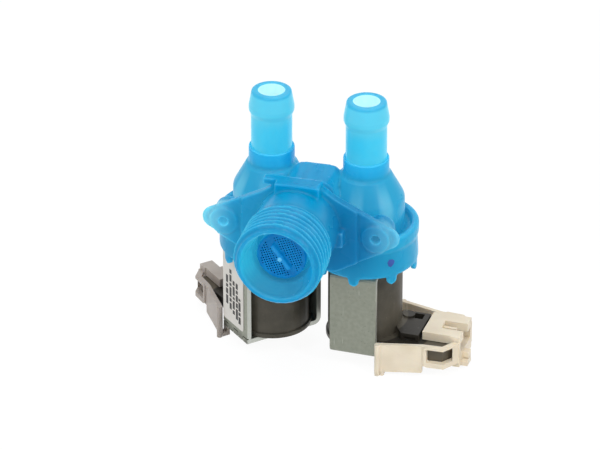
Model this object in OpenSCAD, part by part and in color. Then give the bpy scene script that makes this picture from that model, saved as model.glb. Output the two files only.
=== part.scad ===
// Washing machine inlet valve: one threaded inlet, two solenoid chambers, two hose outlets.
// Millimetres. +Z is up, +Y runs from the inlet into the machine, +X to the right.
// The origin is the centre of the inlet's mouth. Each chamber is drawn about its own
// upright axis, with heights counted from the underside of its coil's yoke.

/* [Inlet] */
// Diameter of the inlet tube at the root of its hose thread
inlet_d = 24.1; // [23:0.1:25]
// Length of the threaded stretch, from the mouth
thread_len = 15.9; // [14:0.1:18]
// Diameter of the plain neck between the thread and the panel face
neck_d = 24.8; // [24.4:0.1:26]
// Length of the neck
neck_len = 10.9; // [8:0.1:14]
// Diameter of the mouth
mouth_d = 21.2; // [20.2:0.1:21.6]
// Bore that holds the screen
screen_bore_d = 18; // [17:0.1:19]
// Depth of the funnel in front of the screen
funnel_len = 6; // [4.5:0.1:8]
// Length of the screen's bore behind the funnel
screen_bore_len = 8.5; // [7.5:0.1:10]
// Bore of the passage behind the screen
passage_d = 12.4; // [11.6:0.1:13]
// Outside diameter of the passage
passage_od = 17.4; // [16.6:0.1:18.4]
// Height of the inlet's axis above the top of the chamber rings
inlet_rise = 8.7; // [8:0.1:9.4]

/* [Screen] */
// Diameter of the screen's front face
screen_face_d = 15; // [14:0.1:16]
// Wall of the screen
screen_wall = 1; // [0.8:0.1:1.3]
// Length of the screen from face to rim
screen_len = 7.5; // [6:0.1:9]
// Distance between the screen's holes
screen_hole_pitch = 1.3; // [1.2:0.05:1.6]
// Width of a hole
screen_hole_w = 0.75; // [0.5:0.05:0.85]
// Length of the grip bar across the face
grip_len = 9.5; // [8:0.1:11]
// Slope of the grip bar
grip_turn = 54; // [0:1:90]

/* [Flange] */
// Distance from the panel face to the row of outlets
reach = 24; // [23:0.1:28]
// Thickness of the flange
flange_t = 3; // [2.4:0.1:3.4]
// Thickness of an ear beyond the thick middle
ear_t = 2.2; // [1.8:0.1:2.4]
// Distance between the centres of the two ear tips
ear_pitch = 53.4; // [52:0.1:58]
// Radius of an ear tip
ear_r = 3.5; // [3:0.1:4.5]
// Distance between the two screw holes
screw_pitch = 46.6; // [44:0.1:48]
// Diameter of a screw hole
screw_d = 3; // [2.4:0.1:4]
// Depth of a screw hole
screw_depth = 7; // [5:0.1:7.4]
// Diameter of a screw boss
boss_d = 8.6; // [8:0.1:9.4]
// Length of a screw boss, from the panel face
boss_len = 8.5; // [8:0.1:9.5]
// How far the ears lie below the inlet's axis
ear_drop = 2.4; // [1:0.1:4]
// Height of the flange above the ears
flange_rise = 15; // [14:0.1:16]
// Depth of the flange below the ears
flange_fall = 12.5; // [12:0.1:14]

/* [Chambers] */
// Distance between the two outlet axes
outlet_pitch = 29.2; // [28.9:0.1:30.6]
// Outside diameter of a chamber's ring
ring_d = 32.1; // [31.6:0.1:33]
// Bore of the skirt that takes the bonnet
skirt_bore_d = 27.8; // [27.4:0.1:28.4]
// Height of ring and skirt together
skirt_h = 12.8; // [12.4:0.1:14]
// Depth of the moat inside the ring's lip
moat_depth = 2.5; // [1.5:0.1:2.8]
// Thickness of the land between the moat and the diaphragm
land_t = 2; // [1.8:0.1:2.4]
// Outside diameter of a bell
bell_d = 23.4; // [23:0.1:24]
// Wall of a bell
bell_wall = 2; // [1.6:0.1:2.2]
// Height of a bell above the ring
bell_h = 14.9; // [14.5:0.1:16]
// Diameter of the bell's shoulder
shoulder_d = 16; // [15.2:0.1:16.6]
// Outside diameter of the seat tube inside the bell
seat_tube_d = 12.4; // [11.8:0.1:12.8]
// Number of tongues under a skirt
tongue_count = 8; // [4:4:8]
// Width of a tongue
tongue_w = 3.2; // [2.6:0.1:3.6]
// How far a tongue hangs below the skirt
tongue_drop = 2.5; // [1.5:0.1:3]

/* [Outlets] */
// Bore of an outlet
outlet_bore_d = 8.1; // [7:0.1:8.6]
// Diameter of a spigot below its barb
spigot_d = 12.4; // [12:0.1:12.8]
// Diameter of the barb's crest
barb_d = 13.7; // [13.3:0.1:14.4]
// Diameter at the tip of a spigot
tip_d = 11.7; // [11:0.1:12]
// Length of a spigot above its collar
spigot_len = 18.5; // [15:0.5:26]
// Depth of a spigot in its collar
spigot_seat = 4.5; // [3.5:0.1:5]
// Diameter of a collar
collar_d = 13.9; // [13.8:0.1:14.6]
// Height of a collar above the bell
collar_h = 6.2; // [5.6:0.1:7.5]
// Length of the barb's crest
crest_len = 1.3; // [0.8:0.1:2]
// Distance from the crest to the tip
tip_len = 5; // [4:0.1:6]
// Thickness of the flow washer
washer_t = 3; // [2.4:0.1:3.2]
// Hole in the flow washer
washer_hole_d = 4.4; // [3:0.1:5.5]

/* [Mechanism] */
// Travel of a plunger
plunger_travel = 2; // [1.6:0.1:2.2]
// Outside diameter of a guide tube
guide_d = 9.8; // [9.6:0.1:10]
// Wall of a guide tube
guide_wall = 0.7; // [0.6:0.05:0.8]
// Thickness of the bonnet's floor
bonnet_t = 2; // [1.8:0.1:2.2]
// Thickness of the diaphragm's rim
rim_t = 2.1; // [1.8:0.1:2.3]
// Thickness of the diaphragm's web
web_t = 0.9; // [0.7:0.05:1]
// Wire of a plunger spring
wire_d = 0.6; // [0.5:0.05:0.7]
// Turns of a plunger spring
spring_turns = 7; // [5:1:8]
// Depth of the spring's pocket in a plunger
spring_pocket = 9; // [8:0.1:11]

/* [Coils] */
// Height of a yoke
yoke_h = 28; // [27:0.1:30]
// Width of a yoke across its side plates
yoke_w = 26; // [25.8:0.1:26.6]
// Width of the steel strip
strip_w = 14.5; // [14:0.1:15]
// Thickness of the steel strip
strip_t = 1.5; // [1.2:0.1:1.6]
// Clearance between a coil and the side plates of its yoke
coil_play = 0.2; // [0.1:0.05:0.5]
// Thickness of a coil's jacket
jacket_t = 1.5; // [1.4:0.1:1.8]
// Length of a flux sleeve
sleeve_len = 8; // [6:0.1:10]
// Wall of a flux sleeve
sleeve_wall = 0.9; // [0.7:0.05:1]
// Direction in which the left connector points
left_turn = 135; // [130:1:140]
// Direction in which the right connector points
right_turn = -3.3; // [-6:0.1:5]
// Width of the label
label_w = 12.1; // [8:0.1:13]
// Bare strip of the yoke below the label
label_z = 3.2; // [2.4:0.1:5]
// Bare strip of the yoke above the label
label_margin = 1.3; // [0.8:0.1:6]
// Thickness of the label
label_t = 0.2; // [0.15:0.05:0.3]

/* [Connectors] */
// Clearance between the near end of an arm and the steel strip
arm_play = 0.15; // [0.1:0.05:1]
// Clearance between an arm and the side plate that it grips
grip_play = 0.2; // [0.1:0.05:0.5]
// Distance from the coil's axis to the wide part of the housing
hood_start = 21.2; // [20.8:0.1:22]
// Half the width of the housing where the arms join it
hood_half_w = 11.1; // [10.9:0.1:11.6]
// Distance from the coil's axis to the housing's mouth
hood_end = 31.5; // [30.5:0.1:34]
// Wall of the housing
hood_wall = 1.3; // [1.1:0.05:1.4]
// Height of the arms' top edge
arm_top = 6.1; // [5.6:0.1:6.8]
// Height of the arms' lower edge
arm_foot = -3.2; // [-3.6:0.1:-2.4]
// Height of the roof
roof_top = 7.8; // [7.4:0.1:8.4]
// Thickness of the roof
roof_t = 2.7; // [2.2:0.1:2.9]
// Thickness of the terminal block
block_t = 3.2; // [2.8:0.1:3.3]
// Width of a terminal
terminal_w = 4.8; // [4:0.1:5.2]
// Thickness of a terminal
terminal_t = 0.8; // [0.6:0.1:1]

/* [Hidden] */
$fn = 64;

body_blue = [0.13, 0.55, 0.82];
spigot_blue = [0.3, 0.8, 0.95];
screen_blue = [0.1, 0.42, 0.78];
steel_grey = [0.57, 0.58, 0.52];
jacket_brown = [0.27, 0.26, 0.24];
housing_beige = [0.88, 0.83, 0.73];

// Clearances
fit = 0.1;       // radial play of pieces that slip together
slide = 0.08;    // radial play of a plunger in its tube
seal = 0.05;     // gap between faces that part when the valve opens
past = 1;        // how far a cut runs past a face
sink = 0.5;      // how far joined shapes run into each other

// Levels along the inlet
panel_y = thread_len + neck_len;
flange_back = panel_y + flange_t;
outlet_y = panel_y + reach;
key_proud = 3;   // how far the locating key stands in front of the panel face

// Heights above the yoke's underside
skirt_z = yoke_h + 0.2;
ring_z = skirt_z + skirt_h;
bell_z = ring_z + bell_h;
collar_z = bell_z + collar_h;
tip_z = collar_z + spigot_len;
axis_h = ring_z + inlet_rise;
moat_z = ring_z - moat_depth;
land_z = moat_z - land_t;
seat_z = land_z + 0.7;
spigot_z = collar_z - spigot_seat;
washer_z = spigot_z - washer_t;
rim_z = land_z - rim_t;
bonnet_floor_z = yoke_h + bonnet_t;
guide_end_z = 0.4;
guide_floor_z = guide_end_z + 0.8;

// Radii
ring_r = ring_d / 2;
skirt_r = ring_r - 0.15;
waist_r = ring_r - 0.45;
bell_r = bell_d / 2;
lip_r = skirt_bore_d / 2;
collar_r = collar_d / 2;
spigot_r = spigot_d / 2;
outlet_r = outlet_bore_d / 2;
washer_r = spigot_r - 0.55;
washer_seat_r = washer_r + fit;
inlet_r = inlet_d / 2;
neck_r = neck_d / 2;
bonnet_r = lip_r - fit;
guide_r = guide_d / 2;
guide_bore_r = guide_r - guide_wall;
plunger_r = guide_bore_r - slide;
sleeve_r = guide_r + fit + sleeve_wall;
bobbin_bore_r = sleeve_r + seal;
coil_r = yoke_w / 2 - strip_t - coil_play;
bobbin_wall = 0.95;
flange_lip = 1;
winding_r = coil_r - jacket_t;
bobbin_flange_r = winding_r + 0.3;

// Steps of an arc from angle a0 to a1, as points
function arc(cx, cy, r, a0, a1, n) =
    [for (i = [0:n]) let (a = a0 + (a1 - a0) * i / n) [cx + r * cos(a), cy + r * sin(a)]];

module at_chamber(side)
    translate([side * outlet_pitch / 2, outlet_y, -axis_h]) children();

module at_coil(side)
    at_chamber(side) rotate(side < 0 ? left_turn : right_turn) children();

// A solid turned about the inlet's axis, from points of radius and depth
module turned_on_inlet(points)
    rotate([-90, 0, 0]) rotate_extrude() polygon(points);

module upright(z0, z1, r)
    translate([0, 0, z0]) cylinder(r = r, h = z1 - z0);

module along_y(y0, y1, r)
    translate([0, y0, 0]) rotate([-90, 0, 0]) cylinder(r = r, h = y1 - y0);

// Outline of the flange and its ears, seen from the inlet
ear_x = ear_pitch / 2;
shoulder_x = ear_x * 0.42;
crown_x = ear_x * 0.25;
flange_outline = concat(
    arc(ear_x, 0, ear_r, -62, 58, 8),
    [[shoulder_x, flange_rise - 3.2], [crown_x, flange_rise]],
    [[-crown_x, flange_rise], [-shoulder_x, flange_rise - 3.2]],
    arc(-ear_x, 0, ear_r, 122, 242, 8),
    [[-shoulder_x, -flange_fall], [shoulder_x, -flange_fall]]
);
thick_x = ear_x * 0.66;   // the thick middle of the flange ends here
tip_pad_t = 1.5;          // thickness of the outermost tip of an ear
pad_x = ear_x - 1.2;
tab_x0 = -11;             // locating tab on the flange's top edge
tab_x1 = -1.8;
tab_rise = 1.4;

// The flange's outline out to a distance from the middle, as a slab from its back face
module flange_slab(half_w, thickness)
    translate([0, flange_back, 0]) rotate([90, 0, 0]) linear_extrude(thickness) intersection() {
        polygon(flange_outline);
        square([2 * half_w, 4 * flange_rise], center = true);
    }

module flange() {
    translate([0, 0, -ear_drop]) {
        flange_slab(thick_x, flange_t);
        flange_slab(pad_x, ear_t);
        flange_slab(ear_x + ear_r + past, tip_pad_t);
        for (side = [-1, 1]) translate([side * screw_pitch / 2, 0, 0])
            along_y(panel_y, panel_y + boss_len, boss_d / 2);
        translate([tab_x0, panel_y, flange_rise - sink])
            cube([tab_x1 - tab_x0, flange_t, tab_rise + sink]);
    }
}

module screw_holes()
    for (side = [-1, 1]) translate([side * screw_pitch / 2, 0, -ear_drop])
        along_y(panel_y - past, panel_y + screw_depth, screw_d / 2);

// Keys on the neck that sit in the panel's cut-out
key_w = 13.5;
key_rise = 1.7;
side_key_h = 5;
module neck_keys() {
    translate([-key_w / 2, panel_y - key_proud, 0])
        cube([key_w, key_proud + flange_t, neck_r + key_rise]);
    for (side = [-1, 1]) translate([side * neck_r, panel_y - key_proud / 2, -ear_drop])
        cube([2 * key_rise, key_proud + sink, side_key_h], center = true);
}

// Ribs from the flange to the bells, and a web from the flange into the lips of the rings
rib_t = 2;
rib_x = 9;
rib_end = outlet_y - bell_r + 3.5;
web_end = outlet_y - (ring_r + lip_r) / 2;
module flange_ribs() {
    for (side = [-1, 1]) translate([side * rib_x - rib_t / 2, flange_back - sink, moat_z - axis_h])
        cube([rib_t, rib_end - flange_back + sink, inlet_rise + moat_depth]);
    translate([-outlet_pitch / 2, flange_back - sink, land_z - axis_h])
        cube([outlet_pitch, web_end - flange_back + sink, land_t + moat_depth]);
}

// The rounded lump between the bells, where the passage ends
bridge_w = 15;
bridge_end = 1.5;
bridge_soft = 3.4;
module bridge() {
    along_y(panel_y, outlet_y - bridge_end, passage_od / 2);
    top = passage_od / 2 - 0.3;
    back = outlet_y - bridge_end + 1;
    translate([0, back - bell_r, 0]) rotate([-90, 0, 0]) linear_extrude(bell_r)
        polygon(concat(
            [[-bridge_w / 2, inlet_rise - sink]],
            arc(-bridge_w / 2 + bridge_soft, -top + bridge_soft, bridge_soft, 180, 270, 5),
            arc(bridge_w / 2 - bridge_soft, -top + bridge_soft, bridge_soft, 270, 360, 5),
            [[bridge_w / 2, inlet_rise - sink]]
        ));
}

// Outside of one chamber: skirt, ring with its moat, bell, shoulder and collar
shoulder_rim = 0.5;
module chamber_outside() {
    rotate_extrude() polygon(concat(
        [[0, skirt_z], [skirt_r - 0.5, skirt_z], [skirt_r, skirt_z + 0.9], [skirt_r, skirt_z + 2.3]],
        [[waist_r, ring_z - 4.6], [ring_r, ring_z - 3.6], [ring_r, ring_z - 0.6]],
        [[ring_r - 0.6, ring_z], [lip_r + 0.3, ring_z], [lip_r, ring_z - 0.3]],
        [[lip_r, moat_z], [bell_r, moat_z]],
        arc(bell_r - 4, ring_z + bell_h - 7.9, 4, 0, 32, 4),
        [[shoulder_d / 2, bell_z], [shoulder_d / 2 - 0.1, bell_z + shoulder_rim]],
        [[collar_r + 0.35, bell_z + shoulder_rim], [collar_r, bell_z + 1.2]],
        [[collar_r, collar_z - 0.3], [collar_r - 0.2, collar_z], [0, collar_z]]
    ));
    tongues();
}

module tongues()
    for (i = [0:tongue_count - 1]) rotate(i * 360 / tongue_count) intersection() {
        difference() {
            upright(skirt_z - tongue_drop, skirt_z + sink, skirt_r - 0.1);
            upright(skirt_z - tongue_drop - past, skirt_z + 2 * sink, lip_r + 0.4);
        }
        translate([lip_r - past, 0, skirt_z - tongue_drop]) rotate([90, 0, 90])
            linear_extrude(ring_r - lip_r + 2 * past) polygon(concat(
                arc(0, tongue_w / 2 - 0.1, tongue_w / 2, 180, 360, 10),
                [[tongue_w / 2, tongue_drop + tongue_w], [-tongue_w / 2, tongue_drop + tongue_w]]
            ));
    }

// Hollow of one chamber: skirt bore, bell round the seat tube, outlet and its collar
seat_tube_r = seat_tube_d / 2;
seat_lip_r = outlet_r + 1.1;
module chamber_inside() {
    inner_r = bell_r - bell_wall;
    roof_z = bell_z - 5.4;
    rotate_extrude() polygon([
        [0, skirt_z - past], [lip_r, skirt_z - past], [lip_r, land_z], [inner_r, land_z],
        [inner_r, roof_z - 2.2], [seat_tube_r + 0.8, roof_z], [seat_tube_r, roof_z],
        [seat_tube_r, seat_z + 1.8], [seat_lip_r, seat_z], [0, seat_z]
    ]);
    upright(seat_z - past, collar_z + past, outlet_r);
    upright(washer_z, collar_z + past, washer_seat_r);
    upright(spigot_z, collar_z + past, spigot_r + fit);
}

module inlet_bore()
    turned_on_inlet([
        [0, -past], [mouth_d / 2 + 0.8, -past], [mouth_d / 2, 0.4], [mouth_d / 2, 1.6],
        [screen_bore_d / 2, funnel_len], [screen_bore_d / 2, funnel_len + screen_bore_len],
        [passage_d / 2, funnel_len + screen_bore_len + 1], [passage_d / 2, outlet_y - bridge_end - 3],
        [0, outlet_y - bridge_end - 3]
    ]);

// Cross passage from the end of the inlet's bore into both bells
cross_d = 8;
module cross_passage()
    translate([0, outlet_y - bridge_end - cross_d / 2 - 1, -1.5]) rotate([0, 90, 0])
        cylinder(d = cross_d, h = outlet_pitch - seat_tube_d - 1, center = true);

module valve_body() color(body_blue) difference() {
    union() {
        along_y(0, thread_len + sink, inlet_r);
        along_y(thread_len, panel_y + sink, neck_r);
        flange();
        neck_keys();
        flange_ribs();
        bridge();
        for (side = [-1, 1]) at_chamber(side) chamber_outside();
    }
    inlet_bore();
    cross_passage();
    screw_holes();
    for (side = [-1, 1]) at_chamber(side) chamber_inside();
}

// Cup of the inlet screen, with its hole pattern and grip bar
screen_y = funnel_len + 0.4;
screen_rim_r = screen_bore_d / 2 - seal;
screen_rim_t = 1.5;
grip_w = 1.5;
grip_h = 2;
hole_reach = screen_face_d / 2 - 1;
module screen_holes() {
    n = floor(hole_reach / screen_hole_pitch);
    for (i = [-n:n], j = [-n:n]) {
        p = [i * screen_hole_pitch, j * screen_hole_pitch];
        if (norm(p) < hole_reach - screen_hole_w / 2 && abs(p[1]) > grip_w)
            translate(p) square(screen_hole_w, center = true);
    }
}
module inlet_screen() color(screen_blue) {
    face_r = screen_face_d / 2;
    foot_y = screen_y + screen_len;
    difference() {
        turned_on_inlet([
            [0, screen_y], [face_r - 0.4, screen_y], [face_r, screen_y + 0.4],
            [face_r, foot_y - screen_rim_t], [screen_rim_r, foot_y - screen_rim_t], [screen_rim_r, foot_y],
            [face_r - screen_wall, foot_y], [face_r - screen_wall, screen_y + screen_wall],
            [0, screen_y + screen_wall]
        ]);
        rotate([0, grip_turn, 0]) translate([0, screen_y + 2 * screen_wall, 0])
            rotate([90, 0, 0]) linear_extrude(3 * screen_wall) screen_holes();
    }
    rotate([0, grip_turn, 0]) translate([0, screen_y + sink, 0]) rotate([90, 0, 0])
        linear_extrude(grip_h + sink) square([grip_len, grip_w], center = true);
    along_y(screen_y - grip_h - 0.4, screen_y + sink, grip_w / 2 + 0.1);
}

// Hose spigot, welded into its collar
module spigot() color(spigot_blue) {
    crest_z = tip_z - tip_len;
    rotate_extrude() polygon([
        [outlet_r, spigot_z], [spigot_r, spigot_z], [spigot_r, crest_z - crest_len - 1.6],
        [barb_d / 2, crest_z - crest_len], [barb_d / 2, crest_z], [tip_d / 2 + 0.15, tip_z - 0.6],
        [tip_d / 2 - 0.5, tip_z], [outlet_r + 0.5, tip_z], [outlet_r, tip_z - 0.5]
    ]);
}

module flow_washer() color([0.15, 0.15, 0.16]) rotate_extrude() polygon([
    [washer_hole_d / 2, washer_z], [washer_r, washer_z], [washer_r, spigot_z],
    [washer_hole_d / 2 + 1, spigot_z], [washer_hole_d / 2, spigot_z - 0.8]
]);

// Rubber diaphragm: clamped rim, rolling web and the disc that closes the seat
insert_hole_r = 3;
rim_in_r = lip_r - fit - 1.8;
disc_r = seat_lip_r + 1.6;
module diaphragm() color([0.16, 0.16, 0.17]) rotate_extrude() polygon([
    [insert_hole_r, seat_z - seal - 1], [disc_r, seat_z - seal - 1], [disc_r + 0.8, rim_z + 0.9],
    [rim_in_r - 0.8, rim_z + 0.3], [rim_in_r, rim_z], [lip_r - fit, rim_z], [lip_r - fit, land_z],
    [rim_in_r, land_z], [rim_in_r - 0.4, rim_z + 0.3 + web_t], [disc_r + 1.5, rim_z + 0.9 + web_t],
    [disc_r + 0.5, seat_z - seal], [insert_hole_r, seat_z - seal]
]);

// Plastic core of the diaphragm, with the pilot hole that the plunger closes
insert_z = seat_z - seal - 1 - seal;
insert_t = 1.6;
nozzle_z = insert_z - insert_t - 0.9;
pilot_r = 0.6;
module diaphragm_insert() color([0.92, 0.92, 0.9]) rotate_extrude() polygon([
    [pilot_r, nozzle_z], [pilot_r + 0.7, nozzle_z], [pilot_r + 1.2, insert_z - insert_t],
    [disc_r - 0.6, insert_z - insert_t], [disc_r - 0.2, insert_z - insert_t + 0.5],
    [disc_r - 0.2, insert_z], [insert_hole_r - fit, insert_z], [insert_hole_r - fit, seat_z + 1.2],
    [insert_hole_r - 0.7, seat_z + 3], [pilot_r, seat_z + 3]
]);

// Bonnet that clamps the diaphragm, in one piece with the closed guide tube
bonnet_wall = 1.9;
module guide_bonnet() color([0.9, 0.9, 0.88]) rotate_extrude() polygon([
    [0, guide_end_z], [guide_r - 0.8, guide_end_z], [guide_r, guide_end_z + 0.8], [guide_r, yoke_h],
    [bonnet_r - 0.4, yoke_h], [bonnet_r, yoke_h + 0.4], [bonnet_r, rim_z], [bonnet_r - bonnet_wall, rim_z],
    [bonnet_r - bonnet_wall - 0.6, bonnet_floor_z + 0.6], [bonnet_r - bonnet_wall - 1.2, bonnet_floor_z],
    [guide_bore_r + 1, bonnet_floor_z], [guide_bore_r, bonnet_floor_z - 1], [guide_bore_r, guide_floor_z],
    [0, guide_floor_z]
]);

// Steel plunger with its spring pocket, relief flats and rubber tip
tip_r = 2.2;
tip_seat = 1.2;
tip_top_z = nozzle_z - seal;
plunger_top_z = tip_top_z - 0.8;
plunger_end_z = guide_floor_z + plunger_travel + 0.4;
pocket_r = plunger_r - 1.3;
pocket_z = plunger_end_z + spring_pocket;
module plunger() color([0.7, 0.7, 0.72]) difference() {
    rotate_extrude() polygon([
        [0, plunger_end_z], [plunger_r - 0.3, plunger_end_z], [plunger_r, plunger_end_z + 0.3],
        [plunger_r, plunger_top_z - 1.6], [tip_r + 0.9, plunger_top_z], [0, plunger_top_z]
    ]);
    upright(plunger_end_z - past, pocket_z, pocket_r);
    upright(plunger_top_z - tip_seat, plunger_top_z + past, tip_r);
    for (side = [-1, 1]) translate([side * (plunger_r + 0.3), 0, plunger_end_z - past])
        cylinder(r = 0.8, h = plunger_top_z - plunger_end_z + 2 * past, $fn = 24);
}

module plunger_tip() color([0.15, 0.15, 0.16]) rotate_extrude() polygon([
    [0, plunger_top_z - tip_seat], [tip_r, plunger_top_z - tip_seat], [tip_r, tip_top_z - 0.2],
    [tip_r - 0.2, tip_top_z], [0, tip_top_z]
]);

// Coil spring between the guide tube's floor and the plunger's pocket
spring_r = pocket_r - wire_d / 2 - 0.3;
wire_steps = 12;
wire_sides = 6;
spring_z0 = guide_floor_z + wire_d / 2;
spring_z1 = pocket_z - wire_d / 2;
spring_n = spring_turns * wire_steps;
function wire_ring(i) =
    let (turn = 360 * i / wire_steps, z = spring_z0 + (spring_z1 - spring_z0) * i / spring_n)
    [for (k = [0:wire_sides - 1]) let (a = 360 * k / wire_sides, r = spring_r + wire_d / 2 * cos(a))
        [r * cos(turn), r * sin(turn), z + wire_d / 2 * sin(a)]];
module plunger_spring() color([0.75, 0.75, 0.77]) polyhedron(
    points = [for (i = [0:spring_n]) each wire_ring(i)],
    faces = concat(
        [[for (k = [0:wire_sides - 1]) k]],
        [for (i = [0:spring_n - 1], k = [0:wire_sides - 1]) let (m = (k + 1) % wire_sides)
            [i * wire_sides + k, (i + 1) * wire_sides + k, (i + 1) * wire_sides + m, i * wire_sides + m]],
        [[for (k = [wire_sides - 1:-1:0]) spring_n * wire_sides + k]]
    )
);

// Coil: bobbin, winding and the jacket moulded round them
coil_z0 = strip_t + fit;
coil_z1 = yoke_h - strip_t - fit;
core_r = bobbin_bore_r + bobbin_wall;
module bobbin() color([0.2, 0.2, 0.2]) difference() {
    union() {
        upright(coil_z0, coil_z1, core_r);
        upright(coil_z0, coil_z0 + flange_lip, bobbin_flange_r);
        upright(coil_z1 - flange_lip, coil_z1, bobbin_flange_r);
    }
    upright(coil_z0 - past, coil_z1 + past, bobbin_bore_r);
}

module winding() color([0.72, 0.4, 0.2]) difference() {
    upright(coil_z0 + flange_lip, coil_z1 - flange_lip, winding_r);
    upright(coil_z0 - past, coil_z1 + past, core_r);
}

// Terminal block on the foot of the jacket
block_half_w = hood_half_w - hood_wall - 0.3;
block_end = hood_start - 0.3;
block_z = coil_z0;
block_top = block_z + block_t;
nose_play = 0.2;         // between the block's nose and the housing round it
nose_wall = 1;
nose_top = 0.8;
nose_foot = block_z - 1.1;
tower_front = 7;
tower_back = 6.6;
tower_end = block_end - 2;
tower_top = roof_top - 0.6;
tower_start = coil_r + 2.1;   // where the tower's front corner stands clear of the coil
pocket_x = [tower_end - 4.9, tower_end - 1.6];
pocket_y = [tower_back - 3.8, tower_back - 0.8];
pocket_depth = 2.5;
stud_r = 1.9;
stud_h = 0.5;
jacket_lip = 0.6;
jacket_lip_h = 1.3;
jacket_soft = 0.6;   // chamfer at the jacket's ends, clear of the strip's inner bends
tower_groove = [2, 0.9, 0.6];   // below the tower's top, height and depth of the groove in its front
module terminal_block() {
    translate([0, -block_half_w, block_z]) cube([block_end, 2 * block_half_w, block_t]);
    block_nose(far_cheek_w);
    mirror([0, 1, 0]) block_nose(near_cheek_w);
    difference() {
        translate([0, 0, block_top - sink]) linear_extrude(tower_top - block_top + sink) polygon([
            [coil_r - 2, tower_back - 1], [coil_r - 0.6, tower_back], [tower_end, tower_back],
            [tower_end, -tower_front], [tower_start, -tower_front], [coil_r - past, -tower_front / 3]
        ]);
        translate([pocket_x[0], pocket_y[0], tower_top - pocket_depth])
            cube([pocket_x[1] - pocket_x[0], pocket_y[1] - pocket_y[0], pocket_depth + past]);
        translate([tower_start + 1, -tower_front - past, tower_top - tower_groove[0]])
            cube([tower_end - tower_start - 2, past + tower_groove[2], tower_groove[1]]);
    }
    translate([coil_r + stud_r - sink, tower_back - stud_r - sink, tower_top - sink])
        cylinder(r = stud_r, h = stud_h + sink);
}
// One half of the hood over the blades: a side wall along the housing's wall, and a flat top
module block_nose(cheek_w) {
    inside = hood_wall + nose_play;
    root = block_end - sink;
    translate([0, 0, nose_foot]) linear_extrude(block_top - nose_foot) intersection() {
        wall_band(cheek_w, inside, inside + nose_wall);
        translate([root, cheek_w + fit]) square([cheek_x - mouth_wall - root, block_half_w]);
    }
    translate([0, 0, block_top - nose_top]) linear_extrude(nose_top) intersection() {
        polygon(concat(wall_line(cheek_w, inside), [[hood_end, 0], [arm_start, 0]]));
        translate([root, 0]) square([mouth_x - nose_play - root, block_half_w]);
    }
}

module coil_jacket() color(jacket_brown) difference() {
    union() {
        rotate_extrude() polygon([
            [0, coil_z0], [coil_r - jacket_soft, coil_z0], [coil_r, coil_z0 + jacket_soft],
            [coil_r, coil_z1 - jacket_soft], [coil_r - jacket_soft, coil_z1], [0, coil_z1]
        ]);
        intersection() {
            upright(coil_z0, coil_z0 + jacket_lip_h, coil_r + jacket_lip);
            translate([0, 0, yoke_h / 2]) cube([2 * yoke_w, yoke_w - 2 * bend_r, yoke_h], center = true);
        }
        terminal_block();
    }
    upright(coil_z0 - past, coil_z1 + past, winding_r);
    upright(coil_z0 - past, coil_z0 + flange_lip, bobbin_flange_r);
    upright(coil_z1 - flange_lip, coil_z1 + past, bobbin_flange_r);
    for (side = [-1, 1]) terminal_blank(side);
}

// Blade terminals, moulded into the block
terminal_root = 3;      // length moulded into the block
terminal_inset = 2.4;   // distance of its tip behind the housing's mouth
terminal_in = block_end - terminal_root;
terminal_out = hood_end - terminal_inset;
terminal_gap = 0.7;
terminal_z = block_z + 0.8;
terminal_point = 1.2;
// Middle of a blade: the pair is in line with the middle of the housing's mouth
function terminal_y(side) = (far_cheek_w - near_cheek_w) / 2 + side * (terminal_gap + terminal_w) / 2;
module terminal_blank(side)
    translate([terminal_in, terminal_y(side) - terminal_w / 2, terminal_z])
        cube([terminal_out - terminal_in, terminal_w, terminal_t]);
module terminal(side) color([0.8, 0.78, 0.7]) difference() {
    terminal_blank(side);
    for (edge = [-1, 1])
        translate([terminal_out, terminal_y(side) + edge * terminal_w / 2, 0]) rotate(45)
            cube([terminal_point, terminal_point, 2 * yoke_h], center = true);
}

module flux_sleeve(z0) color([0.6, 0.6, 0.6]) difference() {
    upright(z0, z0 + sleeve_len, sleeve_r);
    upright(z0 - past, z0 + sleeve_len + past, guide_r + fit);
}

// Yoke: steel strip bent into a ring, its ends locked by fingers at one lower corner
bend_r = 2.4;
seam_w = 0.3;
seam_depth = 0.5;
finger_w = strip_w / 5;
module yoke() color(steel_grey) difference() {
    translate([-strip_w / 2, 0, 0]) rotate([90, 0, 90]) linear_extrude(strip_w) difference() {
        polygon(yoke_outline(yoke_w / 2, 0, yoke_h, bend_r));
        polygon(yoke_outline(yoke_w / 2 - strip_t, strip_t, yoke_h - strip_t, bend_r - strip_t));
    }
    upright(-past, yoke_h + past, guide_r + fit);
    finger_seam();
}
// The corner with the fingers stays sharp, and the other three are bent
function yoke_outline(half_w, z0, z1, r) = concat(
    arc(-half_w + r, z0 + r, r, 180, 270, 6),
    [[half_w, z0]],
    arc(half_w - r, z1 - r, r, 0, 90, 6),
    arc(-half_w + r, z1 - r, r, 90, 180, 6)
);
// Fine grooves where the fingers of the side plate and the floor plate meet
module finger_seam()
    for (i = [0:4]) translate([-strip_w / 2 + i * finger_w, yoke_w / 2 - strip_t, 0]) {
        if (i % 2 == 0)
            translate([0, strip_t - seam_depth, strip_t]) cube([finger_w, seam_depth + past, seam_w]);
        else
            translate([0, -seam_w, -past]) cube([finger_w, seam_w, past + seam_depth]);
        if (i > 0) {
            translate([-seam_w / 2, 0, -past]) cube([seam_w, strip_t + past, past + seam_depth]);
            translate([-seam_w / 2, strip_t - seam_depth, -past])
                cube([seam_w, seam_depth + past, strip_t + past]);
        }
    }

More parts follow.
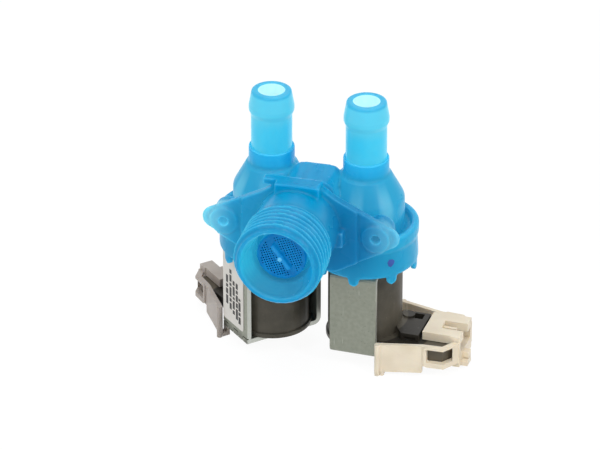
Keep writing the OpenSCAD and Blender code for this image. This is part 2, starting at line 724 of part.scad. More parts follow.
label_h = yoke_h - label_z - label_margin;
label_soft = 1;
label_x1 = strip_w / 2 - 0.3;
module label() color([0.86, 0.84, 0.8])
    translate([label_x1 - label_w, yoke_w / 2 + label_t, label_z]) rotate([90, 0, 0]) linear_extrude(label_t)
        polygon(concat(
            arc(label_soft, label_soft, label_soft, 180, 270, 5),
            arc(label_w - label_soft, label_soft, label_soft, 270, 360, 5),
            arc(label_w - label_soft, label_h - label_soft, label_soft, 0, 90, 5),
            arc(label_soft, label_h - label_soft, label_soft, 90, 180, 5)
        ));

// Connector housing: two sprung arms, side walls with latch windows, roof, floor and mouth
arm_start = strip_w / 2 + arm_play;
arm_half_w = yoke_w / 2 + grip_play + hood_wall;
fold_x = hood_end - 3.7;  // where a side wall folds towards the mouth
cheek_x = hood_end - 0.5;
mouth_x = cheek_x - 2.6;  // where the mouth's frame starts
near_cheek_w = 5.6;       // half the mouth's width on the side of the latch
far_cheek_w = 7.6;        // and on the other side
bead_len = 2.9;
bead_drop = 1.4;
arm_hook = 2.6;           // the bead's foot turns inward this far, below the yoke
hook_h = 1.2;
hook_w = 0.9;
window_z0 = 0.8;
window_z1 = 5.3;
window_edge = 1.5;        // distance of a window from the wide part's start and from the mouth
window_x0 = hood_start + window_edge;
window_x1 = hood_end - window_edge;
window_soft = 0.3;
frame_w = 0.9;            // the raised frame round a window
frame_proud = 0.45;
frame_soft = 1.2;
frame_foot = -0.8;
roof_z = roof_top - roof_t;
roof_front = near_cheek_w - 0.3;
roof_back = far_cheek_w - 0.4;
roof_start = hood_start - 1.5;
roof_chamfer = 1.6;
floor_top = nose_foot - nose_play;
floor_z = -1.1;
mouth_foot = -2.5;
mouth_sill = 1.4;

// Plan of one side wall from the arm to the mouth, between its outer face and a depth inside it
function wall_line(cheek_w, depth) = [
    [arm_start, arm_half_w - depth], [hood_start, hood_half_w - depth],
    [fold_x - depth / 2, hood_half_w - 0.4 - depth], [cheek_x - depth / 2, cheek_w - depth],
    [hood_end, cheek_w - depth]
];
function reversed(list) = [for (i = [len(list) - 1:-1:0]) list[i]];
module wall_band(cheek_w, outside, inside)
    polygon(concat(wall_line(cheek_w, outside), reversed(wall_line(cheek_w, inside))));

// A rectangle with rounded corners, seen from the side of the housing, cut through to the side
module side_cut(x0, x1, z0, z1, soft)
    translate([0, 2 * arm_half_w, 0]) rotate([90, 0, 0]) linear_extrude(2 * arm_half_w) polygon(concat(
        arc(x0 + soft, z0 + soft, soft, 180, 270, 4), [[x1, z0], [x1, z1]],
        arc(x0 + soft, z1 - soft, soft, 90, 180, 4)
    ));

module side_wall(cheek_w) {
    difference() {
        union() {
            translate([0, 0, arm_foot]) linear_extrude(arm_top - arm_foot)
                wall_band(cheek_w, 0, hood_wall);
            intersection() {
                translate([0, 0, frame_foot]) linear_extrude(arm_top - frame_foot)
                    wall_band(cheek_w, -frame_proud, hood_wall);
                side_cut(window_x0 - frame_w, hood_end, frame_foot, arm_top, frame_soft);
            }
        }
        side_cut(window_x0, window_x1, window_z0, window_z1, window_soft);
        // Below the frame the wall ends where the arm ends, with its corner cut off
        translate([hood_start, 0, arm_foot - past])
            cube([hood_end, arm_half_w, past - arm_foot + frame_foot]);
        translate([hood_start, 0, arm_foot]) rotate([0, -45, 0]) translate([-2 * past, 0, -2 * past])
            cube([4 * past, arm_half_w, 2 * past]);
    }
    arm_bead();
}
// Beaded near end of an arm, with a foot that turns inward
module arm_bead() {
    translate([0, 0, arm_foot - bead_drop]) linear_extrude(arm_top - arm_foot + bead_drop) {
        translate([arm_start + bead_len / 4, arm_half_w - hood_wall / 2 + 0.1])
            circle(d = bead_len / 2 + 0.2, $fn = 24);
        translate([arm_start + bead_len * 0.7, arm_half_w - hood_wall / 2 - 0.5])
            circle(d = bead_len / 2, $fn = 24);
    }
    translate([arm_start + 0.2, arm_half_w - hood_wall - arm_hook, arm_foot - bead_drop])
        cube([bead_len - 0.6, arm_hook + sink, hook_h]);
    translate([arm_start + 0.2, arm_half_w - hood_wall - arm_hook, arm_foot - bead_drop])
        cube([bead_len - 0.6, hook_w, 2.5 * hook_h]);
}

// Mouth: a frame round the plug's way in, with a slot in its roof and lugs on its face
notch_front = -1.4;
notch_back = 3.2;
notch_len = 7;
mouth_wall = 1.3;
rib_w = 0.9;
lug_w = 2.4;
lug_len = 1.9;
lug_h = 1.9;
module mouth() {
    chamfer_h = roof_chamfer / sqrt(2);   // depth of the cut along the roof's inner edge
    mouth_w = near_cheek_w + far_cheek_w;
    difference() {
        union() {
            translate([roof_start, -roof_front, roof_z])
                cube([hood_end - roof_start, roof_front + roof_back, roof_t]);
            translate([hood_start, -hood_half_w + hood_wall / 2, floor_z])
                cube([fold_x - hood_start, 2 * hood_half_w - hood_wall, floor_top - floor_z]);
            translate([mouth_x, -near_cheek_w + 0.1, mouth_foot])
                cube([hood_end - mouth_x, mouth_w - 0.2, roof_top - mouth_foot]);
            translate([fold_x - sink, -near_cheek_w, floor_z])
                cube([cheek_x - fold_x + sink, mouth_w, floor_top - floor_z]);
        }
        translate([mouth_x - past, mouth_wall - near_cheek_w, mouth_sill])
            cube([hood_end - mouth_x + 2 * past, mouth_w - 2 * mouth_wall, roof_z - mouth_sill]);
        translate([hood_end - notch_len, notch_front, roof_z - past])
            cube([notch_len + past, notch_back - notch_front, roof_t + 2 * past]);
        translate([roof_start, -yoke_w / 2, roof_z]) rotate([0, 45, 0])
            translate([-2 * roof_chamfer, 0, -chamfer_h])
                cube([4 * roof_chamfer, yoke_w, chamfer_h]);
    }
    // Rib along the middle of the slot
    translate([hood_end - notch_len - sink, (notch_front + notch_back) / 2 + rib_w / 3, roof_z])
        cube([notch_len - 2.5, rib_w, roof_t - 1.2]);
    // Two lugs on the mouth's face, the lower one wider: place along the face, height, width
    for (lug = [[-3.2, mouth_foot - 0.6, 1.6 * lug_w], [-1.9, mouth_foot + 1.6, lug_w]])
        translate([hood_end - sink, lug[0], lug[1]]) cube([lug_len + sink, lug[2], lug_h]);
}
module connector_housing() color(housing_beige) {
    side_wall(far_cheek_w);
    mirror([0, 1, 0]) side_wall(near_cheek_w);
    mouth();
}

valve_body();
inlet_screen();
at_chamber(-1) spigot();  // left_spigot
at_chamber(1) spigot();  // right_spigot
at_chamber(-1) flow_washer();  // left_flow_washer
at_chamber(1) flow_washer();  // right_flow_washer
at_chamber(-1) diaphragm();  // left_diaphragm
at_chamber(1) diaphragm();  // right_diaphragm
at_chamber(-1) diaphragm_insert();  // left_diaphragm_insert
at_chamber(1) diaphragm_insert();  // right_diaphragm_insert
at_chamber(-1) guide_bonnet();  // left_guide_bonnet
at_chamber(1) guide_bonnet();  // right_guide_bonnet
at_chamber(-1) plunger();  // left_plunger
at_chamber(1) plunger();  // right_plunger
at_chamber(-1) plunger_tip();  // left_plunger_tip
at_chamber(1) plunger_tip();  // right_plunger_tip
at_chamber(-1) plunger_spring();  // left_plunger_spring
at_chamber(1) plunger_spring();  // right_plunger_spring
at_coil(-1) bobbin();  // left_bobbin
at_coil(1) bobbin();  // right_bobbin
at_coil(-1) winding();  // left_winding
at_coil(1) winding();  // right_winding
at_coil(-1) coil_jacket();  // left_coil_jacket
at_coil(1) coil_jacket();  // right_coil_jacket
at_coil(-1) flux_sleeve(yoke_h - strip_t - sleeve_len);  // left_upper_sleeve
at_coil(1) flux_sleeve(yoke_h - strip_t - sleeve_len);  // right_upper_sleeve
at_coil(-1) flux_sleeve(strip_t);  // left_lower_sleeve
at_coil(1) flux_sleeve(strip_t);  // right_lower_sleeve
at_coil(-1) yoke();  // left_yoke
at_coil(1) yoke();  // right_yoke
at_coil(-1) terminal(-1);  // left_front_terminal
at_coil(1) terminal(-1);  // right_front_terminal
at_coil(-1) terminal(1);  // left_rear_terminal
at_coil(1) terminal(1);  // right_rear_terminal
at_coil(-1) connector_housing();  // left_connector_housing
at_coil(1) connector_housing();  // right_connector_housing
at_coil(-1) label();  // coil_label
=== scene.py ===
import math

import bmesh
import bpy
import numpy as np
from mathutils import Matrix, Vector


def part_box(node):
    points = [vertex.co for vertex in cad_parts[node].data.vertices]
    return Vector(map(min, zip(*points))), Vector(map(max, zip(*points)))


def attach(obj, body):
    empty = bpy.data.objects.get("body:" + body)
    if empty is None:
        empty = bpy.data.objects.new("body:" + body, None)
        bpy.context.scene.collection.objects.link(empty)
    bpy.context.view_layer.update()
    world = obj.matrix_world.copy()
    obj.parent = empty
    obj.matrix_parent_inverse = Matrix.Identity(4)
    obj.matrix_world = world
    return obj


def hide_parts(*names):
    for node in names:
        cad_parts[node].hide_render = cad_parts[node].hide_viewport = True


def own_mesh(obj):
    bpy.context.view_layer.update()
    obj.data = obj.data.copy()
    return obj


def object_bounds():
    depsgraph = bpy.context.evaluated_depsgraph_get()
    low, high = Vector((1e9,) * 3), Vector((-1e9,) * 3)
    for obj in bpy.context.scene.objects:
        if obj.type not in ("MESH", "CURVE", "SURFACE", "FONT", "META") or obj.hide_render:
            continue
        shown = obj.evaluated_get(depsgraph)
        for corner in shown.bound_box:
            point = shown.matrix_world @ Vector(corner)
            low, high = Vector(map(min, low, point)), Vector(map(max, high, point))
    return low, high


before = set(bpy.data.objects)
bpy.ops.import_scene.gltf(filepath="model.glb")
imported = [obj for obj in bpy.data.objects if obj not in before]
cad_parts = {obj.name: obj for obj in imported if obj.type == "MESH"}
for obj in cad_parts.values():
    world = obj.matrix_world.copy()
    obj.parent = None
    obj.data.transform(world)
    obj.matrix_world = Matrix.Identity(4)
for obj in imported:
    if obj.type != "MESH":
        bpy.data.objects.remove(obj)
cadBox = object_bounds()
mm = 0.001
weldDistance = 0.000002  # metres
print("frame loaded")


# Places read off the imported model, in millimetres

def boxOf(node):
    low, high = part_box(node)
    return np.array(low) / mm, np.array(high) / mm


def middleOf(node):
    low, high = boxOf(node)
    return (low + high) / 2


leftAxis = middleOf("left_spigot")
rightAxis = middleOf("right_spigot")
outletY = float(leftAxis[1])
spigotLow, spigotHigh = (float(end[2]) for end in boxOf("left_spigot"))
yokeFoot = float(boxOf("left_yoke")[0][2])
floorZ = float(cadBox[0][2]) / mm
leftTurn = 135.0
rightTurn = -3.3


# Camera at the photograph's viewing angle, with a long lens

photo = {
    "azimuth": 14.5,
    "elevation": 29.0,
    "pxPerMm": 3.34,
    "originPx": (276.4, 265.8),  # where the centre of the inlet's mouth lies in the picture
    "imageSize": (600, 450),
    "distance": 1500.0,
    "sensor": 36.0,
}


def placeCamera():
    a = math.radians(photo["azimuth"])
    e = math.radians(photo["elevation"])
    right = np.array([math.cos(a), math.sin(a), 0.0])
    back = np.array([math.sin(a) * math.cos(e), -math.cos(a) * math.cos(e), math.sin(e)])
    up = np.cross(back, right)
    centre = (np.array(cadBox[0]) + np.array(cadBox[1])) / 2 / mm
    width, height = photo["imageSize"]
    across = (width / 2 - photo["originPx"][0]) / photo["pxPerMm"]
    upward = (photo["originPx"][1] - height / 2) / photo["pxPerMm"]
    target = right * across + up * upward + back * float(back @ centre)
    data = bpy.data.cameras.new("camera")
    data.sensor_width = photo["sensor"]
    data.lens = photo["pxPerMm"] * photo["sensor"] / width * photo["distance"]
    data.clip_end = 20.0
    camera = bpy.data.objects.new("camera", data)
    bpy.context.scene.collection.objects.link(camera)
    camera.location = Vector((target + back * photo["distance"]) * mm)
    camera.rotation_mode = "QUATERNION"
    camera.rotation_quaternion = Vector(-back).to_track_quat("-Z", "Y")
    bpy.context.scene.camera = camera


placeCamera()
bpy.context.scene.view_settings.view_transform = "Standard"
print("camera placed")


# Node helpers

def newMaterial(name):
    material = bpy.data.materials.new(name)
    material.use_nodes = True
    tree = material.node_tree
    tree.nodes.clear()
    output = tree.nodes.new("ShaderNodeOutputMaterial")
    shader = tree.nodes.new("ShaderNodeBsdfPrincipled")
    tree.links.new(shader.outputs["BSDF"], output.inputs["Surface"])
    return material, tree, shader


def addNode(tree, kind, settings=None, **inputs):
    node = tree.nodes.new(kind)
    for key, value in (settings or {}).items():
        setattr(node, key, value)
    for key, value in inputs.items():
        feed(tree, node.inputs[key.replace("_", " ")], value)
    return node


def feed(tree, socket, value):
    if isinstance(value, bpy.types.NodeSocket):
        tree.links.new(value, socket)
    else:
        socket.default_value = value


def mathNode(tree, operation, first, second=0.0, third=0.0):
    node = tree.nodes.new("ShaderNodeMath")
    node.operation = operation
    for socket, value in zip(node.inputs, (first, second, third)):
        feed(tree, socket, value)
    return node.outputs[0]


def rampValue(tree, value, low, high, lowOut=0.0, highOut=1.0):
    node = addNode(tree, "ShaderNodeMapRange", {"interpolation_type": "SMOOTHSTEP"})
    for socket, number in zip(node.inputs, (value, low, high, lowOut, highOut)):
        feed(tree, socket, number)
    return node.outputs[0]


def mixColour(tree, factor, first, second):
    node = addNode(tree, "ShaderNodeMix", {"data_type": "RGBA"})
    feed(tree, node.inputs["Factor"], factor)
    feed(tree, node.inputs[6], first)
    feed(tree, node.inputs[7], second)
    return node.outputs[2]


def mixShaders(tree, share, first, second):
    node = addNode(tree, "ShaderNodeMixShader")
    for socket, value in zip(node.inputs, (share, first, second)):
        feed(tree, socket, value)
    return node.outputs[0]


def setSockets(shader, values):
    for label, value in values.items():
        shader.inputs[label].default_value = value


def linear(red, green, blue):
    def toLinear(c):
        c = c / 255
        return c / 12.92 if c <= 0.04045 else ((c + 0.055) / 1.055) ** 2.4

    return (toLinear(red), toLinear(green), toLinear(blue), 1.0)


# Shared effects, each a group built once

def newGroup(name, inputs, outputs):
    group = bpy.data.node_groups.new(name, "ShaderNodeTree")
    for label, kind, default in inputs:
        socket = group.interface.new_socket(label, in_out="INPUT", socket_type=kind)
        socket.default_value = default
    for label, kind in outputs:
        group.interface.new_socket(label, in_out="OUTPUT", socket_type=kind)
    start = group.nodes.new("NodeGroupInput")
    end = group.nodes.new("NodeGroupOutput")
    return group, start, end


def buildMottle():  # two octaves of cloud that shift a colour between dark and light
    group, start, end = newGroup(
        "mottle",
        [
            ("Scale", "NodeSocketFloat", 100.0),
            ("Dark", "NodeSocketColor", (0.4, 0.4, 0.4, 1)),
            ("Light", "NodeSocketColor", (0.6, 0.6, 0.6, 1)),
            ("Spread", "NodeSocketFloat", 0.2),
        ],
        [("Color", "NodeSocketColor"), ("Mask", "NodeSocketFloat")],
    )
    place = addNode(group, "ShaderNodeTexCoord").outputs["Object"]
    cloud = addNode(group, "ShaderNodeTexNoise", Vector=place, Scale=start.outputs["Scale"], Detail=4.0)
    low = mathNode(group, "SUBTRACT", 0.5, start.outputs["Spread"])
    high = mathNode(group, "ADD", 0.5, start.outputs["Spread"])
    mask = rampValue(group, cloud.outputs["Fac"], low, high)
    feed(group, end.inputs["Color"], mixColour(group, mask, start.outputs["Dark"], start.outputs["Light"]))
    feed(group, end.inputs["Mask"], mask)
    return group


def buildGrain():  # fine moulded or rolled grain as a normal
    group, start, end = newGroup(
        "grain",
        [
            ("Scale", "NodeSocketFloat", 2000.0),
            ("Height", "NodeSocketFloat", 0.00002),
            ("Waviness", "NodeSocketFloat", 0.0),
        ],
        [("Normal", "NodeSocketVector"), ("Value", "NodeSocketFloat")],
    )
    place = addNode(group, "ShaderNodeTexCoord").outputs["Object"]
    fine = addNode(group, "ShaderNodeTexNoise", Vector=place, Scale=start.outputs["Scale"], Detail=2.0)
    broadScale = mathNode(group, "MULTIPLY", start.outputs["Scale"], 0.08)
    broad = addNode(group, "ShaderNodeTexNoise", Vector=place, Scale=broadScale, Detail=1.0)
    wave = mathNode(group, "MULTIPLY", broad.outputs["Fac"], start.outputs["Waviness"])
    height = mathNode(group, "ADD", fine.outputs["Fac"], wave)
    bump = addNode(
        group, "ShaderNodeBump", Height=height, Distance=start.outputs["Height"], Strength=1.0
    )
    feed(group, end.inputs["Normal"], bump.outputs["Normal"])
    feed(group, end.inputs["Value"], fine.outputs["Fac"])
    return group


mottleGroup = buildMottle()
grainGroup = buildGrain()


def mottle(tree, **inputs):
    return addNode(tree, "ShaderNodeGroup", {"node_tree": mottleGroup}, **inputs)


def grain(tree, **inputs):
    return addNode(tree, "ShaderNodeGroup", {"node_tree": grainGroup}, **inputs)


def addSkin(tree, shader, **inputs):
    skin = grain(tree, **inputs)
    feed(tree, shader.inputs["Normal"], skin.outputs["Normal"])
    return skin


def objectParts(tree):
    place = addNode(tree, "ShaderNodeTexCoord").outputs["Object"]
    parts = addNode(tree, "ShaderNodeSeparateXYZ", Vector=place)
    return place, parts.outputs[0], parts.outputs[1], parts.outputs[2]


# Translucent blue plastic of the body

bodyLook = {
    "deep": linear(12, 116, 170),
    "middle": linear(38, 157, 203),
    "thread": linear(24, 147, 196),
    "thin": linear(46, 171, 214),
    "top": linear(0, 146, 198),        # painted shade on the upward faces of the neck and the passage behind it
    # pale: colour of the painted light and painted highlights on ears, edges, bells and the mouth's top
    "pale": linear(126, 210, 234),
    "mouth": linear(56, 190, 220),
    "mouthFar": linear(14, 150, 208),  # side of the mouth away from the light
    # painted shade at the foot of the mouth
    "mouthFoot": linear(54, 142, 180),
    "hollow": linear(96, 204, 236),    # light that reaches hollows through the wall
    "core": (12.0, 30.0, -4.0),        # where the plastic is thickest and the painted shade is darkest
    "coreReach": (24.0, 6.0),
    "deepShare": 0.95,
    "cloudShare": 0.22,
    "edges": (0.51, 0.58, 0.0, 0.18),  # pointiness at which edges turn pale as a painted highlight, and by how much
    "streaks": {-93.0: 0.34, -43.0: 0.5},  # painted highlights of the soft boxes on the bells: turn and strength
    "streakWidth": (0.965, 1.0),
    "bossX": 23.3,
    "bossZ": -2.4,
    "ringPitch": 1.25,                 # faint turned rings in the mouth
    "ringShare": 0.08,
    "roughness": (0.22, 0.32),
    "inner": 0.42,                     # share of the colour given as emission, a painted glow for light inside the plastic
}
# Where each mask starts and is full, in millimetres, and its two values where they aren't 0 and 1
bodyReach = {
    "threadY": (19.0, 16.0),
    "threadRadius": (11.4, 11.8),
    "crestRadius": (12.4, 13.4, 0.0, 0.3),  # painted highlight: the thread's crests are paler than its roots
    "bellRadius": (14.5, 12.5, 0.0, 0.75),
    "bellZ": (-9.0, -4.0),
    "collarRadius": (9.5, 8.5),
    "collarZ": (7.5, 11.0),
    "lipInside": (13.6, 15.4),
    "lipOutside": (17.6, 16.9),
    "lipFoot": (-16.0, -8.5, 0.3, 0.7),
    "lipTop": (-4.5, -7.5),
    "lipSide": (14.0, 29.0, 0.1, 1.4),      # painted light and shade: the lips pale towards the right, so the left ring's stay dark and the right skirt pales towards its outer side
    "topX": (11.0, 7.0),
    "topY": (16.0, 19.0),
    "topZ": (5.0, 10.0),
    "earX": (19.0, 30.0),
    "earY": (33.5, 31.5),
    "earSide": (10.0, -10.0, 0.5, 1.0),     # painted light: the left ear is paler than the right one
    "streakFoot": (-9.0, -1.0),
    "streakTop": (7.5, 1.0),
    "streakRadius": (13.4, 12.6),
    "mouthRadius": (11.3, 10.5),
    "mouthY": (16.0, 12.0),
    "mouthFarX": (-6.0, 11.0, 0.08, 0.9),
    "mouthFootZ": (-1.0, -9.5, 0.0, 0.85),
    "mouthTopZ": (3.0, 10.0, 0.0, 0.4),
    "bossRadius": (1.8, 1.5),
    "bossY": (34.4, 34.2),
    "bossSide": (10.0, -10.0, 0.35, 1.0),
}


def distanceFrom(tree, place, point):
    node = addNode(tree, "ShaderNodeVectorMath", {"operation": "DISTANCE"}, Vector=place)
    node.inputs[1].default_value = [c * mm for c in point]
    return node.outputs["Value"]


def radiusFrom(tree, first, second, centre):
    # Distance from an axis, from the two coordinates across it
    a = mathNode(tree, "SUBTRACT", first, centre[0] * mm)
    b = mathNode(tree, "SUBTRACT", second, centre[1] * mm)
    return mathNode(tree, "SQRT", mathNode(tree, "ADD", product(tree, a, a), product(tree, b, b)))


def product(tree, first, *others):
    for other in others:
        first = mathNode(tree, "MULTIPLY", first, other)
    return first


def largest(tree, first, *others):
    for other in others:
        first = mathNode(tree, "MAXIMUM", first, other)
    return first


def span(tree, value, low, high, lowOut=0.0, highOut=1.0):
    return rampValue(tree, value, low * mm, high * mm, lowOut, highOut)


def lightInside(tree, shader, colour, share):
    # Painted glow: part of a translucent plastic's colour is given as emission, for light scattered in it,
    # whichever way it faces
    dark = mixColour(tree, share, colour, (0, 0, 0, 1))
    feed(tree, shader.inputs["Base Color"], dark)
    feed(tree, shader.inputs["Emission Color"], colour)
    shader.inputs["Emission Strength"].default_value = share


def bodyPlastic():
    material, tree, shader = newMaterial("bodyPlastic")
    place, x, y, z = objectParts(tree)
    sideX = mathNode(tree, "ABSOLUTE", x)
    tube = radiusFrom(tree, x, z, (0.0, 0.0))
    chamber = radiusFrom(tree, sideX, y, (float(rightAxis[0]), outletY))
    boss = radiusFrom(tree, sideX, z, (bodyLook["bossX"], bodyLook["bossZ"]))

    def mask(**values):  # product of the named reaches, each for the value given to it
        return product(tree, *[span(tree, value, *bodyReach[reach]) for reach, value in values.items()])

    onThread = mask(threadY=y, threadRadius=tube)
    colour = mixColour(tree, onThread, bodyLook["middle"], bodyLook["thread"])
    cloud = mottle(tree, Scale=70.0, Spread=0.45)
    # Thick plastic and painted shade: the body darkens towards its core, where its neighbours shade it
    deep = span(tree, distanceFrom(tree, place, bodyLook["core"]), *bodyLook["coreReach"])
    deep = largest(tree, deep, product(tree, cloud.outputs["Mask"], bodyLook["cloudShare"]))
    colour = mixColour(tree, product(tree, deep, bodyLook["deepShare"]), colour, bodyLook["deep"])

    # Thin walls let more light through, painted as a paler colour: bells, collars and the rings' lips; the
    # thread's crests carry a painted highlight
    bells = mask(bellRadius=chamber, bellZ=z)
    collars = mask(collarRadius=chamber, collarZ=z)
    lips = mask(lipInside=chamber, lipOutside=chamber, lipFoot=z, lipTop=z, lipSide=x)
    crests = product(tree, mask(crestRadius=tube), onThread)
    colour = mixColour(tree, largest(tree, bells, collars, lips, crests), colour, bodyLook["thin"])
    # Painted shade on the upward faces of the neck and the passage behind it
    colour = mixColour(tree, mask(topX=sideX, topY=y, topZ=z), colour, bodyLook["top"])

    # Painted light on the ear tips and painted highlights on the sharp edges
    ears = mask(earX=sideX, earY=y, earSide=x)
    sharp = addNode(tree, "ShaderNodeNewGeometry").outputs["Pointiness"]
    edges = rampValue(tree, sharp, *bodyLook["edges"])
    colour = mixColour(tree, largest(tree, ears, edges), colour, bodyLook["pale"])

    # Painted highlights: soft pale bands on the bells, where the soft boxes are reflected
    onBell = mask(streakFoot=z, streakTop=z, streakRadius=chamber)
    acrossX = mathNode(tree, "SUBTRACT", sideX, float(rightAxis[0]) * mm)
    acrossY = mathNode(tree, "SUBTRACT", y, outletY * mm)
    for angle, strength in bodyLook["streaks"].items():
        along = math.radians(angle)
        partX, partY = product(tree, acrossX, math.cos(along)), product(tree, acrossY, math.sin(along))
        facing = mathNode(tree, "DIVIDE", mathNode(tree, "ADD", partX, partY), chamber)
        streak = rampValue(tree, facing, *bodyLook["streakWidth"], 0.0, strength)
        colour = mixColour(tree, product(tree, streak, onBell), colour, bodyLook["pale"])

    rings = mathNode(tree, "SINE", product(tree, y, 2 * math.pi / (bodyLook["ringPitch"] * mm)))
    farSide = mathNode(tree, "ADD", mask(mouthFarX=x), product(tree, rings, bodyLook["ringShare"]))
    mouth = mixColour(tree, farSide, bodyLook["mouth"], bodyLook["mouthFar"])
    # Painted shade at the mouth's foot and painted light at its top, beside the far side's painted shade
    mouth = mixColour(tree, mask(mouthFootZ=z), mouth, bodyLook["mouthFoot"])
    mouth = mixColour(tree, mask(mouthTopZ=z), mouth, bodyLook["pale"])
    colour = mixColour(tree, mask(mouthRadius=tube, mouthY=y), colour, mouth)
    colour = mixColour(tree, mask(bossRadius=boss, bossY=y, bossSide=x), colour, bodyLook["hollow"])
    lightInside(tree, shader, colour, bodyLook["inner"])

    addSkin(tree, shader, Scale=900.0, Height=0.000012, Waviness=3.0)
    rough = rampValue(tree, cloud.outputs["Mask"], 0.0, 1.0, *bodyLook["roughness"])
    feed(tree, shader.inputs["Roughness"], rough)
    setSockets(shader, {
        "Specular IOR Level": 0.12,
        "Subsurface Weight": 1.0,
        "Subsurface Radius": (0.3, 1.0, 1.1),
        "Subsurface Scale": 0.004,
        "IOR": 1.49,
    })
    return material


spigotLook = {
    "wall": linear(92, 210, 240),
    "shank": linear(44, 206, 246),
    "tip": linear(44, 178, 220),
    "bore": linear(204, 250, 252),
    "shankFrom": (-7.0, -11.5),      # heights from the tip over which a colour comes in
    "tipFrom": (-1.3, -0.3),
    "boreFrom": (-0.05, -0.3),
    "boreRadius": (4.35, 4.12),
    "inner": 0.45,
}


def spigotPlastic(name, axis):
    material, tree, shader = newMaterial(name)
    _, x, y, z = objectParts(tree)
    radius = radiusFrom(tree, x, y, (float(axis[0]), float(axis[1])))
    fromTip = mathNode(tree, "SUBTRACT", z, spigotHigh * mm)
    cloud = mottle(tree, Scale=110.0, Dark=spigotLook["wall"], Light=spigotLook["shank"], Spread=0.6)
    shank = span(tree, fromTip, *spigotLook["shankFrom"])
    colour = mixColour(tree, shank, spigotLook["wall"], cloud.outputs["Color"])
    colour = mixColour(tree, span(tree, fromTip, *spigotLook["tipFrom"]), colour, spigotLook["tip"])
    # Painted glow: the bore's mouth is near white, for light entering it from above
    bore = span(tree, radius, *spigotLook["boreRadius"])
    bore = product(tree, bore, span(tree, fromTip, *spigotLook["boreFrom"]))
    colour = mixColour(tree, bore, colour, spigotLook["bore"])
    lightInside(tree, shader, colour, spigotLook["inner"])
    addSkin(tree, shader, Scale=900.0, Height=0.000012, Waviness=2.0)
    setSockets(shader, {
        "Roughness": 0.3,
        "Specular IOR Level": 0.3,
        "Subsurface Weight": 1.0,
        "Subsurface Radius": (0.35, 1.0, 1.1),
        "Subsurface Scale": 0.003,
    })
    return material


screenLook = {
    "dark": linear(0, 116, 186),
    "light": linear(2, 138, 206),
    "bar": linear(34, 152, 218),     # painted light: the grip bar is paler where it stands out from the face
    # painted highlight on the nub's tip
    "nub": linear(96, 190, 236),
    "wall": linear(34, 164, 208),    # painted light: the cup's outside, seen in the gap round it, is paler to lift the shade there
    "inside": linear(0, 42, 92),     # painted shade: the cup's inside, seen through the mesh, is dark
    "face": 6.4,
    "barFrom": (-0.1, -1.4),         # depths from the face over which a colour comes in
    "nubFrom": (-1.7, -2.2),
    "wallFrom": (0.5, 1.6),
    "insideFrom": (0.2, 0.4),
    "insideRadius": (6.9, 6.7),
    "inner": 0.5,
}


def screenPlastic():
    material, tree, shader = newMaterial("screenPlastic")
    _, x, y, z = objectParts(tree)
    depth = mathNode(tree, "SUBTRACT", y, screenLook["face"] * mm)
    cloud = mottle(tree, Scale=300.0, Dark=screenLook["dark"], Light=screenLook["light"], Spread=0.3)
    colour = mixColour(
        tree, span(tree, depth, *screenLook["wallFrom"]), cloud.outputs["Color"], screenLook["wall"]
    )
    # Painted shade inside the cup, behind the mesh's openings
    behind = span(tree, radiusFrom(tree, x, z, (0.0, 0.0)), *screenLook["insideRadius"])
    behind = product(tree, behind, span(tree, depth, *screenLook["insideFrom"]))
    colour = mixColour(tree, behind, colour, screenLook["inside"])
    # Painted light on the grip bar and a painted highlight on the nub's tip
    colour = mixColour(tree, span(tree, depth, *screenLook["barFrom"]), colour, screenLook["bar"])
    colour = mixColour(tree, span(tree, depth, *screenLook["nubFrom"]), colour, screenLook["nub"])
    lightInside(tree, shader, colour, screenLook["inner"])
    addSkin(tree, shader, Scale=1500.0, Height=0.00001)
    setSockets(shader, {
        "Roughness": 0.3,
        "Specular IOR Level": 0.15,
        "Subsurface Weight": 0.5,
        "Subsurface Radius": (0.3, 1.0, 1.15),
        "Subsurface Scale": 0.0012,
    })
    return material


# Plated steel strip of the yokes

steelLook = {
    "dark": linear(138, 142, 129),
    "light": linear(152, 155, 142),
    "speck": linear(96, 98, 88),
    "scratch": linear(206, 208, 196),
    "edge": linear(196, 198, 190),
    "tarnish": linear(92, 92, 84),
    "tarnishHeight": 3.6,            # stained foot of the left yoke
    "tarnishX": (-2.0, -12.0),
    "stain": (0.0, 0.8, 0.3, 1.0),
    "facing": (0.75, 0.95),
    "pits": (0.66, 0.74, 0.0, 0.6),
    "lines": (0.70, 0.76, 0.0, 0.5),
    "lineTurn": (0.5, 0.3, 0.9),
    "lineStretch": (1.0, 1.0, 0.06),
    "roughness": (0.36, 0.5),
}


